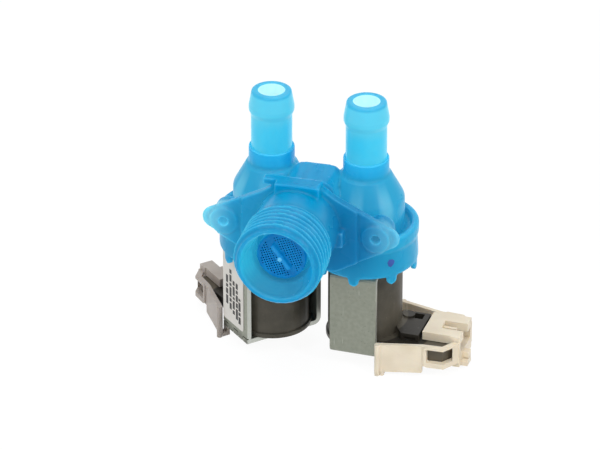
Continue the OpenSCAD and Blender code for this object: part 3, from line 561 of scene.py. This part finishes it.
def stripSteel(name, turn):
    # The strip's cut edges face along the coil's own x axis, and are brighter than its rolled faces
    material, tree, shader = newMaterial(name)
    place, x, _, z = objectParts(tree)
    cloud = mottle(tree, Scale=900.0, Dark=steelLook["dark"], Light=steelLook["light"], Spread=0.35)
    stain = mottle(tree, Scale=260.0, Spread=0.3)
    tarnish = product(
        tree,
        span(tree, z, yokeFoot + steelLook["tarnishHeight"], yokeFoot),
        span(tree, x, *steelLook["tarnishX"]),
        rampValue(tree, stain.outputs["Mask"], *steelLook["stain"]),
    )
    metal = mixColour(tree, tarnish, cloud.outputs["Color"], steelLook["tarnish"])
    pits = addNode(tree, "ShaderNodeTexNoise", Vector=place, Scale=1500.0, Detail=3.0)
    speck = rampValue(tree, pits.outputs["Fac"], *steelLook["pits"])
    stretched = addNode(tree, "ShaderNodeMapping", Vector=place)
    setSockets(stretched, {"Rotation": steelLook["lineTurn"], "Scale": steelLook["lineStretch"]})
    lines = addNode(tree, "ShaderNodeTexNoise", Vector=stretched.outputs[0], Scale=2600.0, Detail=2.0)
    scratch = rampValue(tree, lines.outputs["Fac"], *steelLook["lines"])
    colour = mixColour(tree, speck, metal, steelLook["speck"])
    colour = mixColour(tree, scratch, colour, steelLook["scratch"])
    facing = addNode(tree, "ShaderNodeVectorMath", {"operation": "DOT_PRODUCT"})
    feed(tree, facing.inputs[0], addNode(tree, "ShaderNodeNewGeometry").outputs["Normal"])
    facing.inputs[1].default_value = (math.cos(math.radians(turn)), math.sin(math.radians(turn)), 0)
    cut = rampValue(tree, mathNode(tree, "ABSOLUTE", facing.outputs["Value"]), *steelLook["facing"])
    feed(tree, shader.inputs["Base Color"], mixColour(tree, cut, colour, steelLook["edge"]))
    skin = addSkin(tree, shader, Scale=1800.0, Height=0.00003, Waviness=2.0)
    rough = rampValue(tree, skin.outputs["Value"], 0.3, 0.7, *steelLook["roughness"])
    feed(tree, shader.inputs["Roughness"], rough)
    setSockets(shader, {"Metallic": 0.75})
    return material


# Dark moulded jackets and beige housings

jacketLook = {
    "dark": linear(68, 64, 55),
    "light": linear(88, 83, 72),
    "block": linear(32, 29, 25),     # painted shade: the terminal block, outside the coil's round part, is darker
    "blockFrom": (12.8, 13.4, 0.0, 0.85),
    "nose": linear(96, 89, 77),      # painted light: the block's front, seen through the housing's windows, is paler against the housing's shade
    "noseFrom": (21.5, 22.5),
    "scuff": linear(128, 122, 110),
    "dust": (0.66, 0.78, 0.0, 0.35),
}


def jacketPlastic():
    material, tree, shader = newMaterial("jacketPlastic")
    place, x, y, _ = objectParts(tree)
    cloud = mottle(tree, Scale=160.0, Dark=jacketLook["dark"], Light=jacketLook["light"], Spread=0.3)
    coil = radiusFrom(tree, mathNode(tree, "ABSOLUTE", x), y, (float(rightAxis[0]), outletY))
    block = span(tree, coil, *jacketLook["blockFrom"])
    colour = mixColour(tree, block, cloud.outputs["Color"], jacketLook["block"])
    colour = mixColour(tree, span(tree, coil, *jacketLook["noseFrom"]), colour, jacketLook["nose"])
    speck = addNode(tree, "ShaderNodeTexNoise", Vector=place, Scale=1300.0, Detail=3.0)
    dust = rampValue(tree, speck.outputs["Fac"], *jacketLook["dust"])
    feed(tree, shader.inputs["Base Color"], mixColour(tree, dust, colour, jacketLook["scuff"]))
    addSkin(tree, shader, Scale=1100.0, Height=0.00003, Waviness=1.0)
    setSockets(shader, {"Roughness": 0.42, "Specular IOR Level": 0.28})
    return material


housingLook = {
    "rightHousingPlastic": (linear(224, 210, 186), linear(236, 224, 202)),
    # The left housing is a greyer plastic, and its darker tone is partly painted shade
    "leftHousingPlastic": (linear(160, 150, 142), linear(180, 171, 163)),
}


def housingPlastic(name):
    material, tree, shader = newMaterial(name)
    dark, light = housingLook[name]
    cloud = mottle(tree, Scale=140.0, Dark=dark, Light=light, Spread=0.3)
    feed(tree, shader.inputs["Base Color"], cloud.outputs["Color"])
    addSkin(tree, shader, Scale=1400.0, Height=0.00001, Waviness=1.0)
    setSockets(shader, {
        "Roughness": 0.4,
        "Subsurface Weight": 0.25,
        "Subsurface Radius": (1.0, 0.8, 0.5),
        "Subsurface Scale": 0.001,
    })
    return material


# Plain finishes of the inner pieces: colour pair, roughness and metal share

innerLooks = {
    "sealRubber": (linear(34, 34, 36), linear(44, 44, 46), 0.6, 0.0),
    "innerPlastic": (linear(222, 222, 216), linear(232, 232, 226), 0.42, 0.0),
    "bobbinPlastic": (linear(44, 44, 44), linear(54, 54, 54), 0.45, 0.0),
    "coreSteel": (linear(176, 176, 178), linear(190, 190, 192), 0.28, 1.0),
    "springWire": (linear(190, 190, 194), linear(204, 204, 208), 0.25, 1.0),
    "windingWire": (linear(176, 98, 46), linear(196, 116, 60), 0.35, 0.8),
    "bladeMetal": (linear(196, 190, 170), linear(212, 206, 188), 0.3, 1.0),
    "labelFilm": (linear(214, 210, 203), linear(222, 218, 211), 0.5, 0.0),
    "labelInk": (linear(38, 36, 36), linear(52, 50, 50), 0.5, 0.0),
    "dotInk": (linear(34, 74, 160), linear(44, 90, 178), 0.45, 0.0),
}


def innerFinish(name):
    dark, light, rough, metal = innerLooks[name]
    material, tree, shader = newMaterial(name)
    cloud = mottle(tree, Scale=500.0, Dark=dark, Light=light, Spread=0.25)
    feed(tree, shader.inputs["Base Color"], cloud.outputs["Color"])
    addSkin(tree, shader, Scale=1500.0, Height=0.00001)
    setSockets(shader, {"Roughness": rough, "Metallic": metal})
    return material


finishes = {name: innerFinish(name) for name in innerLooks}
finishes["bodyPlastic"] = bodyPlastic()
finishes["leftSpigotPlastic"] = spigotPlastic("leftSpigotPlastic", leftAxis)
finishes["rightSpigotPlastic"] = spigotPlastic("rightSpigotPlastic", rightAxis)
finishes["screenPlastic"] = screenPlastic()
finishes["leftStripSteel"] = stripSteel("leftStripSteel", leftTurn)
finishes["rightStripSteel"] = stripSteel("rightStripSteel", rightTurn)
finishes["jacketPlastic"] = jacketPlastic()
for name in housingLook:
    finishes[name] = housingPlastic(name)
print("materials built")


# Mesh helpers

def gridQuads(rows, columns, closeRows=False, closeColumns=False):
    # Corner indices of the quads of a rows by columns grid, wrapped where a direction closes
    lastRow = rows if closeRows else rows - 1
    lastColumn = columns if closeColumns else columns - 1
    i, j = np.meshgrid(np.arange(lastRow), np.arange(lastColumn), indexing="ij")
    i2, j2 = (i + 1) % rows, (j + 1) % columns
    corners = np.stack([i * columns + j, i2 * columns + j, i2 * columns + j2, i * columns + j2], axis=-1)
    return corners.reshape(-1, 4)


def meshPiece(name, points, quads, finish, body="root", smooth=True):
    mesh = bpy.data.meshes.new(name)
    mesh.vertices.add(len(points))
    mesh.vertices.foreach_set("co", (np.asarray(points, dtype=float) * mm).astype(np.float32).ravel())
    mesh.loops.add(quads.size)
    mesh.loops.foreach_set("vertex_index", quads.astype(np.int32).ravel())
    mesh.polygons.add(len(quads))
    mesh.polygons.foreach_set("loop_start", np.arange(0, quads.size, quads.shape[1], dtype=np.int32))
    mesh.polygons.foreach_set("use_smooth", np.full(len(quads), smooth))
    mesh.update(calc_edges=True)
    mesh.validate()
    piece = bpy.data.objects.new(name, mesh)
    bpy.context.scene.collection.objects.link(piece)
    if finish:
        mesh.materials.append(finishes[finish])
    if body:
        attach(piece, body)
    return piece


def cleanNormals(piece):
    shell = bmesh.new()
    shell.from_mesh(piece.data)
    bmesh.ops.remove_doubles(shell, verts=shell.verts, dist=weldDistance)
    bmesh.ops.recalc_face_normals(shell, faces=shell.faces)
    shell.to_mesh(piece.data)
    shell.free()


def closeEnds(piece):
    shell = bmesh.new()
    shell.from_mesh(piece.data)
    bmesh.ops.holes_fill(shell, edges=[e for e in shell.edges if e.is_boundary], sides=0)
    bmesh.ops.recalc_face_normals(shell, faces=shell.faces)
    shell.to_mesh(piece.data)
    shell.free()


def roundedProfile(corners, steps=5):
    # A closed outline whose corners, given with a radius each, become curves: (1-t)^2 a + 2t(1-t) b + t^2 c.
    # A curve takes just under half of each side at most
    corners = [np.array(c, dtype=float) for c in corners]
    outline = []
    for k, corner in enumerate(corners):
        before, after = corners[k - 1][:2], corners[(k + 1) % len(corners)][:2]
        here, radius = corner[:2], corner[2]
        if radius <= 0:
            outline.append(here)
            continue
        sideBefore, sideAfter = np.linalg.norm(before - here), np.linalg.norm(after - here)
        u, v = (before - here) / sideBefore, (after - here) / sideAfter
        half = math.acos(np.clip(u @ v, -1, 1)) / 2
        reach = min(radius / math.tan(half), 0.48 * sideBefore, 0.48 * sideAfter)
        start, end = here + u * reach, here + v * reach
        t = np.linspace(0, 1, steps)[:, None]
        outline.extend((1 - t) ** 2 * start + 2 * t * (1 - t) * here + t ** 2 * end)
    return np.array(outline)


def turned(name, outline, centre, finish, body="root", segments=96, along="z"):
    # An outline of radius and height carried round an axis: x = r cos t, y = r sin t
    t = np.linspace(0, 2 * math.pi, segments, endpoint=False)
    radius, height = outline[:, 0], outline[:, 1]
    points = np.stack([
        np.outer(np.cos(t), radius), np.outer(np.sin(t), radius), np.tile(height, (segments, 1))
    ], axis=-1).reshape(-1, 3)
    if along == "y":
        points = points[:, [0, 2, 1]]
    points = points + np.array(centre, dtype=float)
    quads = gridQuads(segments, len(outline), closeRows=True, closeColumns=True)
    piece = meshPiece(name, points, quads, finish, body)
    cleanNormals(piece)
    return piece


def bakeShape(piece):
    graph = bpy.context.evaluated_depsgraph_get()
    baked = bpy.data.meshes.new_from_object(piece.evaluated_get(graph))
    old = piece.data
    piece.modifiers.clear()
    piece.data = baked
    bpy.data.meshes.remove(old)


def softSkin(name, node, finish, slot, voxel, rounds, keep=1.0, extras=()):
    # One moulded skin over a CAD node and loose shells: voxels fuse them, smoothing rounds the edges
    shell = bmesh.new()
    shell.from_mesh(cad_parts[node].data)
    bmesh.ops.remove_doubles(shell, verts=shell.verts, dist=weldDistance)
    for extra in extras:
        shell.from_mesh(extra.data)
        bpy.data.objects.remove(extra)
    mesh = bpy.data.meshes.new(name)
    shell.to_mesh(mesh)
    shell.free()
    piece = bpy.data.objects.new(name, mesh)
    bpy.context.scene.collection.objects.link(piece)
    remesh = piece.modifiers.new("remesh", "REMESH")
    remesh.mode = "VOXEL"
    remesh.voxel_size = voxel * mm
    soften = piece.modifiers.new("soften", "SMOOTH")
    soften.factor = 0.5
    soften.iterations = rounds
    if keep < 1:
        thin = piece.modifiers.new("thin", "DECIMATE")
        thin.ratio = keep
    bakeShape(piece)
    piece.data.polygons.foreach_set("use_smooth", np.full(len(piece.data.polygons), True))
    piece.data.materials.clear()
    piece.data.materials.append(finishes[finish])
    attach(piece, "root")
    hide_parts(node)
    triangles = sum(len(p.vertices) - 2 for p in piece.data.polygons)
    print(name, "has", triangles, "triangles")


# Thread on the inlet: a clipped triangular ridge wound round the root cylinder

thread = {
    "rootRadius": 12.05,
    "depth": 1.44,
    "pitch": 2.209,
    "start": 0.35,
    "end": 15.9,
    "fadeIn": 1.1,
    "runOut": 2.0,
    "around": 200,
    "rows": 150,
    "lift": 0.03,     # of its foot over the root cylinder
    "sunk": 0.9,      # depth of its inner face in the wall
}
bodySkin = {"voxel": 0.42, "rounds": 3, "keep": 0.58}


def threadShell():
    # Radius = root + a triangular wave of (place along the axis / pitch - turn) with 60 degree flanks,
    # clipped at the thread's depth
    p = thread["pitch"]
    y = np.linspace(thread["start"], thread["end"], thread["rows"])
    turn = np.arange(thread["around"]) / thread["around"]
    yy, tt = np.meshgrid(y, turn, indexing="ij")
    phase = np.mod(yy / p - tt, 1.0)
    fromCrest = np.abs(phase - 0.5) * p
    height = np.clip((p / 2 - p / 16 - fromCrest) * math.sqrt(3), 0, thread["depth"])
    lead = np.clip((yy - thread["start"]) / thread["fadeIn"], 0, 1)
    runOut = np.clip((thread["end"] - yy) / thread["runOut"], 0, 1)
    radius = thread["rootRadius"] + thread["lift"] + height * lead * runOut
    inner = thread["rootRadius"] - thread["sunk"]
    ringRadius = np.vstack([np.full((1, len(turn)), inner), radius, np.full((1, len(turn)), inner)])
    ringY = np.concatenate([[y[0]], y, [y[-1]]])[:, None] * np.ones(len(turn))
    angle = 2 * math.pi * turn
    points = np.stack([ringRadius * np.cos(angle), ringY, ringRadius * np.sin(angle)], axis=-1).reshape(-1, 3)
    quads = gridQuads(len(ringY), len(turn), closeRows=True, closeColumns=True)
    shell = meshPiece("threadShell", points, quads, None, body=None)
    cleanNormals(shell)
    return shell


softSkin("moulded_body", "valve_body", "bodyPlastic", "body_plastic", extras=[threadShell()], **bodySkin)
print("body made")


# Spigots: the barb's outline carried round the outlet's axis, with moulded edges

spigot = {
    "boreRadius": 4.05,
    "shankRadius": 6.2,
    "crestRadius": 6.85,
    "tipRadius": 5.85,
    "crestBelowTip": 5.0,
    "crestLength": 1.3,
    "slopeLength": 1.6,
}


def spigotPiece(side, axis):
    crest = spigotHigh - spigot["crestBelowTip"]
    outline = roundedProfile([
        (spigot["boreRadius"], spigotLow, 0.1),
        (spigot["shankRadius"], spigotLow, 0.2),
        (spigot["shankRadius"], crest - spigot["crestLength"] - spigot["slopeLength"], 1.2),
        (spigot["crestRadius"], crest - spigot["crestLength"], 0.9),
        (spigot["crestRadius"], crest, 1.2),
        (spigot["tipRadius"] + 0.15, spigotHigh - 0.2, 0.9),
        (spigot["tipRadius"] - 0.5, spigotHigh, 0.4),
        (spigot["boreRadius"], spigotHigh, 0.2),
    ])
    piece = turned(
        f"{side}_barbed_spigot", outline, (axis[0], axis[1], 0), f"{side}SpigotPlastic"
    )
    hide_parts(f"{side}_spigot")


spigotPiece("left", leftAxis)
spigotPiece("right", rightAxis)
print("spigots made")


# Fine inlet screen: a cup with square openings in two fields beside the grip bar

screen = {
    "pitch": 0.78,
    "widen": 0.05,
    "faceRadius": 7.5,
    "wall": 0.7,
    "meshRadius": 6.3,
    "gripLength": 9.5,
    "gripWidth": 1.4,
    "gripTurn": 54.0,
    "gripHeight": 2.0,
    "bare": 1.3,
    "meshTurn": 20.0,
}


def slabFromCells(cells, step, widen, z0, z1):
    # Closed slab over the true cells of a mask: tops, bottoms, and walls where a true cell meets a
    # false one. Even grid lines move up and odd ones down by widen, which sets the openings' width
    rows, columns = cells.shape
    i, j = np.meshgrid(np.arange(rows + 1), np.arange(columns + 1), indexing="ij")
    across = (i - rows / 2) * step + widen * (1 - 2 * (i % 2))
    along = (j - columns / 2) * step + widen * (1 - 2 * (j % 2))
    flat = np.stack([across, along], axis=-1).reshape(-1, 2)
    points = np.vstack([
        np.column_stack([flat, np.full(len(flat), z0)]),
        np.column_stack([flat, np.full(len(flat), z1)]),
    ])
    layer = len(flat)

    def corner(a, b):
        return a * (columns + 1) + b

    a, b = np.nonzero(cells)
    low = np.stack([corner(a, b), corner(a, b + 1), corner(a + 1, b + 1), corner(a + 1, b)], axis=-1)
    faces = [low, low[:, ::-1] + layer]
    padded = np.pad(cells, 1)
    for da, db, first, second in (
        (-1, 0, (0, 0), (0, 1)), (1, 0, (1, 1), (1, 0)), (0, -1, (1, 0), (0, 0)), (0, 1, (0, 1), (1, 1)),
    ):
        a, b = np.nonzero(cells & ~padded[1 + da:1 + da + rows, 1 + db:1 + db + columns])
        p, q = corner(a + first[0], b + first[1]), corner(a + second[0], b + second[1])
        faces.append(np.stack([q, p, p + layer, q + layer], axis=-1))
    return points, np.vstack(faces)


def fineScreen():
    low, high = boxOf("inlet_screen")
    face = float(low[1]) + screen["gripHeight"] + 0.4
    foot = float(high[1])
    rim = float(high[0])
    step = screen["pitch"] / 2
    count = 2 * int(screen["faceRadius"] / screen["pitch"]) + 1
    size = 2 * count + 1
    i, j = np.meshgrid(np.arange(size), np.arange(size), indexing="ij")
    x, z = (i + 0.5 - size / 2) * step, (j + 0.5 - size / 2) * step
    radius = np.hypot(x, z)
    g = -math.radians(screen["gripTurn"] + screen["meshTurn"])
    acrossGrip = np.abs(x * math.sin(g) - z * math.cos(g))
    hole = (i % 2 == 1) & (j % 2 == 1) & (radius < screen["meshRadius"]) & (acrossGrip > screen["bare"])
    cells = (radius < screen["faceRadius"] - 0.3) & ~hole
    points, quads = slabFromCells(cells, step, screen["widen"], 0.0, screen["wall"])
    turn = math.radians(screen["meshTurn"])
    turnedX = points[:, 0] * math.cos(turn) - points[:, 1] * math.sin(turn)
    turnedZ = points[:, 0] * math.sin(turn) + points[:, 1] * math.cos(turn)
    points = np.column_stack([turnedX, face + points[:, 2], turnedZ])
    plate = meshPiece("screen_mesh", points, quads, "screenPlastic", smooth=False)
    cleanNormals(plate)
    r = screen["faceRadius"]
    turned("screen_cup", roundedProfile([
        (r - 1.05, face - 0.05, 0.1), (r - 0.1, face - 0.05, 0.35), (r, foot - 1.5, 0.1),
        (rim, foot - 1.5, 0.2), (rim, foot, 0.2), (r - 1.0, foot, 0.1),
    ]), (0, 0, 0), "screenPlastic", along="y")
    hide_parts("inlet_screen")
    return face


screenFace = fineScreen()


def gripBar():
    # A rounded bar with a narrower waist: half-width and height vary along its length
    along = np.linspace(-1, 1, 41)
    around = np.linspace(0, math.pi, 13)
    half = screen["gripLength"] / 2
    width = screen["gripWidth"] / 2 * (0.78 + 0.22 * np.abs(along) ** 1.5) * (1 - np.abs(along) ** 14) ** 0.5
    height = screen["gripHeight"] * (0.72 + 0.28 * np.abs(along) ** 2) * (1 - np.abs(along) ** 10) ** 0.5
    width, height = np.maximum(width, 0.02), np.maximum(height, 0.02)
    u = (along * half)[:, None] * np.ones(len(around))
    v = width[:, None] * np.sign(np.cos(around)) * np.abs(np.cos(around)) ** 0.55
    w = height[:, None] * np.sin(around) ** 0.45
    base = screenFace + 0.3
    g = math.radians(screen["gripTurn"])
    x, z = u * math.cos(g) - v * math.sin(g), -(u * math.sin(g) + v * math.cos(g))
    points = np.stack([x, base - w, z], axis=-1).reshape(-1, 3)
    quads = gridQuads(len(along), len(around), closeColumns=True)
    closeEnds(meshPiece("screen_grip", points, quads, "screenPlastic"))


gripBar()
turned("screen_nub", roundedProfile([
    (0.02, screenFace, 0), (0.75, screenFace, 0.1), (0.68, screenFace - 2.3, 0.5), (0.02, screenFace - 2.4, 0),
]), (0, 0, 0), "screenPlastic", segments=32, along="y")
print("screen made")


# Springs of round wire, each with a mesh of its own

spring = {"wire": 0.3, "turns": 7.0, "steps": 40, "sides": 10}


def springPiece(side, axis):
    # Helix of round wire: centre line r (cos t, sin t), rising evenly, with a ring of points round it
    low, high = boxOf(f"{side}_plunger_spring")
    radius = float(high[0] - low[0]) / 2 - spring["wire"]
    z0, z1 = float(low[2]) + spring["wire"], float(high[2]) - spring["wire"]
    n = int(spring["turns"] * spring["steps"]) + 1
    t = np.linspace(0, spring["turns"] * 2 * math.pi, n)[:, None]
    a = np.linspace(0, 2 * math.pi, spring["sides"], endpoint=False)[None, :]
    r = radius + spring["wire"] * np.cos(a)
    rise = z0 + (z1 - z0) * t / t[-1, 0]
    points = np.stack([
        axis[0] + r * np.cos(t), axis[1] + r * np.sin(t), rise + spring["wire"] * np.sin(a)
    ], axis=-1).reshape(-1, 3)
    quads = gridQuads(n, spring["sides"], closeColumns=True)
    piece = meshPiece(f"{side}_wound_spring", points, quads, "springWire")
    closeEnds(piece)
    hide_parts(f"{side}_plunger_spring")
    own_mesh(piece)


springPiece("left", leftAxis)
springPiece("right", rightAxis)
print("springs made")


# Label bars and the inspector's ink dot

label = {
    "rows": [-3.9, -2.3, -0.4, 1.5, 3.6],   # across the label, from its middle
    "barWidth": 1.2,
    "gap": 0.5,
    "thickness": 0.04,
    "standOff": 13.2,
    "sink": 0.01,                           # of the bars' backs in the label
    "midX": 0.9,
    "startZ": 7.0,
    "slant": 0.5,                           # rise of a row's start for each millimetre across
}
barLengths = [
    [2.4, 1.1, 3.0, 0.8],
    [3.6, 1.6, 2.2, 1.2, 1.9],
    [1.3, 2.8, 0.9, 3.1, 1.5],
    [2.1, 1.2, 3.3, 1.0, 2.3, 1.4],
    [3.0, 1.8, 1.1, 2.6],
]


def turnedAboutCoil(points, axis, turn):
    a = math.radians(turn)
    x = axis[0] + points[:, 0] * math.cos(a) - points[:, 1] * math.sin(a)
    y = axis[1] + points[:, 0] * math.sin(a) + points[:, 1] * math.cos(a)
    return np.column_stack([x, y, points[:, 2] + yokeFoot])


unitBox = np.array([[x, y, z] for x in (0, 1) for y in (0, 1) for z in (0, 1)], dtype=float)
boxQuads = np.array([[0, 1, 3, 2], [4, 6, 7, 5], [0, 4, 5, 1], [2, 3, 7, 6], [0, 2, 6, 4], [1, 5, 7, 3]])


def labelBars():
    # Each bar is a unit box stretched to its width, thickness and length
    lows, sizes = [], []
    for row, lengths in zip(label["rows"], barLengths):
        z = label["startZ"] + label["slant"] * row
        for length in lengths:
            lows.append([label["midX"] + row - label["barWidth"] / 2, label["standOff"] - label["sink"], z])
            sizes.append([label["barWidth"], label["thickness"] + label["sink"], length])
            z += length + label["gap"]
    lows, sizes = np.array(lows), np.array(sizes)
    points = (lows[:, None, :] + unitBox[None] * sizes[:, None, :]).reshape(-1, 3)
    quads = (boxQuads[None] + 8 * np.arange(len(lows))[:, None, None]).reshape(-1, 4)
    points = turnedAboutCoil(points, leftAxis, leftTurn)
    piece = meshPiece("label_bars", points, quads, "labelInk", smooth=False)
    cleanNormals(piece)


labelBars()

inkDot = {
    "angle": -47.6,
    "height": -16.5,
    "radius": 1.15,
    "tall": 1.1,          # its height over its width
    "skirtRadius": 15.78,
    "lift": 0.04,
    "rings": 8,
    "around": 40,
}


def skirtDot():
    # A disc wrapped on the right skirt: angle = centre + s cos t / R, height = centre + s sin t,
    # with s made ragged by two waves round it
    s = np.linspace(0.01, 1, inkDot["rings"])[:, None] * inkDot["radius"]
    t = np.linspace(0, 2 * math.pi, inkDot["around"], endpoint=False)[None, :]
    ragged = 1 + 0.08 * np.sin(3 * t + 0.6) + 0.05 * np.sin(7 * t)
    angle = math.radians(inkDot["angle"]) + s * ragged * np.cos(t) / inkDot["skirtRadius"]
    height = inkDot["height"] + inkDot["tall"] * s * ragged * np.sin(t)
    r = inkDot["skirtRadius"] + inkDot["lift"]
    points = np.stack([
        rightAxis[0] + r * np.cos(angle), rightAxis[1] + r * np.sin(angle), height
    ], axis=-1).reshape(-1, 3)
    quads = gridQuads(inkDot["rings"], inkDot["around"], closeColumns=True)
    meshPiece("ink_dot", points, quads, "dotInk")


skirtDot()
print("label and ink made")


# Finishes of the CAD pieces that stay

nodeFinishes = {
    "flow_washer": "sealRubber",
    "diaphragm": "sealRubber",
    "diaphragm_insert": "innerPlastic",
    "guide_bonnet": "innerPlastic",
    "plunger": "coreSteel",
    "plunger_tip": "sealRubber",
    "plunger_spring": "springWire",
    "bobbin": "bobbinPlastic",
    "winding": "windingWire",
    "coil_jacket": "jacketPlastic",
    "upper_sleeve": "coreSteel",
    "lower_sleeve": "coreSteel",
    "front_terminal": "bladeMetal",
    "rear_terminal": "bladeMetal",
}
edgeWidths = {"coil_jacket": 0.25, "connector_housing": 0.22, "yoke": 0.18}  # rounded edges


def dressNode(name, finish, width=0.0):
    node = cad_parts[name]
    node.data.materials.clear()
    node.data.materials.append(finishes[finish])
    weld = node.modifiers.new("weld", "WELD")
    weld.merge_threshold = weldDistance
    if width:
        bevel = node.modifiers.new("edge", "BEVEL")
        bevel.width = width * mm
        bevel.segments = 3
        bevel.limit_method = "ANGLE"
        bevel.angle_limit = math.radians(32)
        bevel.harden_normals = True


for side in ("left", "right"):
    for piece, finish in nodeFinishes.items():
        dressNode(f"{side}_{piece}", finish, edgeWidths.get(piece, 0.0))
    dressNode(f"{side}_connector_housing", f"{side}HousingPlastic", edgeWidths["connector_housing"])
    dressNode(f"{side}_yoke", f"{side}StripSteel", edgeWidths["yoke"])
dressNode("coil_label", "labelFilm")
dressNode("valve_body", "bodyPlastic")
dressNode("inlet_screen", "screenPlastic")
for side in ("left", "right"):
    dressNode(f"{side}_spigot", f"{side}SpigotPlastic")
print("CAD pieces dressed")


# Studio: pale floor, white surround and soft boxes

studio = {
    "floorSize": 3.0,
    "floorGrey": 0.9,
    "floorWhite": 1.04,
    "floorShare": 0.9,     # of plain white in what the camera sees of the floor; the rest is shaded
    "worldStrength": 0.4,
    "worldWhite": 1.02,
    "boxes": [  # azimuth and elevation seen from the valve, distance, width, height, watts
        (8.0, 58.0, 0.9, 0.3, 0.35, 2.6),
        (60.0, 36.0, 0.8, 0.12, 0.3, 1.9),
        (-40.0, 42.0, 0.8, 0.3, 0.4, 1.5),
        (180.0, 60.0, 0.9, 0.6, 0.5, 1.6),
    ],
}


def whiteForRays(tree, shaded, strength=1.0, share=1.0):
    # Shows plain white to the camera, to gloss and to glass, and the shaded surface to the rest
    path = addNode(tree, "ShaderNodeLightPath")
    rays = [path.outputs[ray] for ray in ("Is Camera Ray", "Is Glossy Ray", "Is Transmission Ray")]
    seen = largest(tree, *rays)
    white = addNode(tree, "ShaderNodeEmission" if shaded else "ShaderNodeBackground")
    setSockets(white, {"Color": (1, 1, 1, 1), "Strength": strength})
    return product(tree, seen, share), white


def lightWorld():
    world = bpy.data.worlds.new("studio")
    bpy.context.scene.world = world
    world.use_nodes = True
    tree = world.node_tree
    tree.nodes.clear()
    output = addNode(tree, "ShaderNodeOutputWorld")
    dim = addNode(tree, "ShaderNodeBackground")
    setSockets(dim, {"Strength": studio["worldStrength"], "Color": (1, 1, 1, 1)})
    seen, white = whiteForRays(tree, False, strength=studio["worldWhite"])
    feed(tree, output.inputs["Surface"], mixShaders(tree, seen, dim.outputs[0], white.outputs[0]))


def layFloor():
    half = studio["floorSize"] / 2
    mesh = bpy.data.meshes.new("floor")
    corners = [(-half, -half), (half, -half), (half, half), (-half, half)]
    mesh.from_pydata([(x, y, floorZ * mm) for x, y in corners], [], [(0, 1, 2, 3)])
    floor = bpy.data.objects.new("floor", mesh)
    bpy.context.scene.collection.objects.link(floor)
    material = bpy.data.materials.new("paleFloor")
    material.use_nodes = True
    tree = material.node_tree
    tree.nodes.clear()
    output = addNode(tree, "ShaderNodeOutputMaterial")
    matt = addNode(tree, "ShaderNodeBsdfDiffuse")
    setSockets(matt, {"Color": (studio["floorGrey"],) * 3 + (1,)})
    seen, white = whiteForRays(tree, True, strength=studio["floorWhite"], share=studio["floorShare"])
    above = mixShaders(tree, seen, matt.outputs[0], white.outputs[0])
    clear = addNode(tree, "ShaderNodeBsdfTransparent")  # from below, so that the underside can be seen
    fromBelow = addNode(tree, "ShaderNodeNewGeometry").outputs["Backfacing"]
    feed(tree, output.inputs["Surface"], mixShaders(tree, fromBelow, above, clear.outputs[0]))
    mesh.materials.append(material)


def addSoftBox(number, azimuth, elevation, distance, width, height, watts):
    a, e = math.radians(azimuth), math.radians(elevation)
    back = Vector((math.sin(a) * math.cos(e), -math.cos(a) * math.cos(e), math.sin(e)))
    data = bpy.data.lights.new(f"softBox{number}", "AREA")
    data.shape = "RECTANGLE"
    data.size, data.size_y, data.energy = width, height, watts
    lamp = bpy.data.objects.new(data.name, data)
    bpy.context.scene.collection.objects.link(lamp)
    aim = Vector((0, outletY * 0.8 * mm, -0.01))
    lamp.location = aim + back * distance
    lamp.rotation_mode = "QUATERNION"
    lamp.rotation_quaternion = (-back).to_track_quat("-Z", "Y")


lightWorld()
layFloor()
for number, softBox in enumerate(studio["boxes"]):
    addSoftBox(number, *softBox)
print("studio lit")
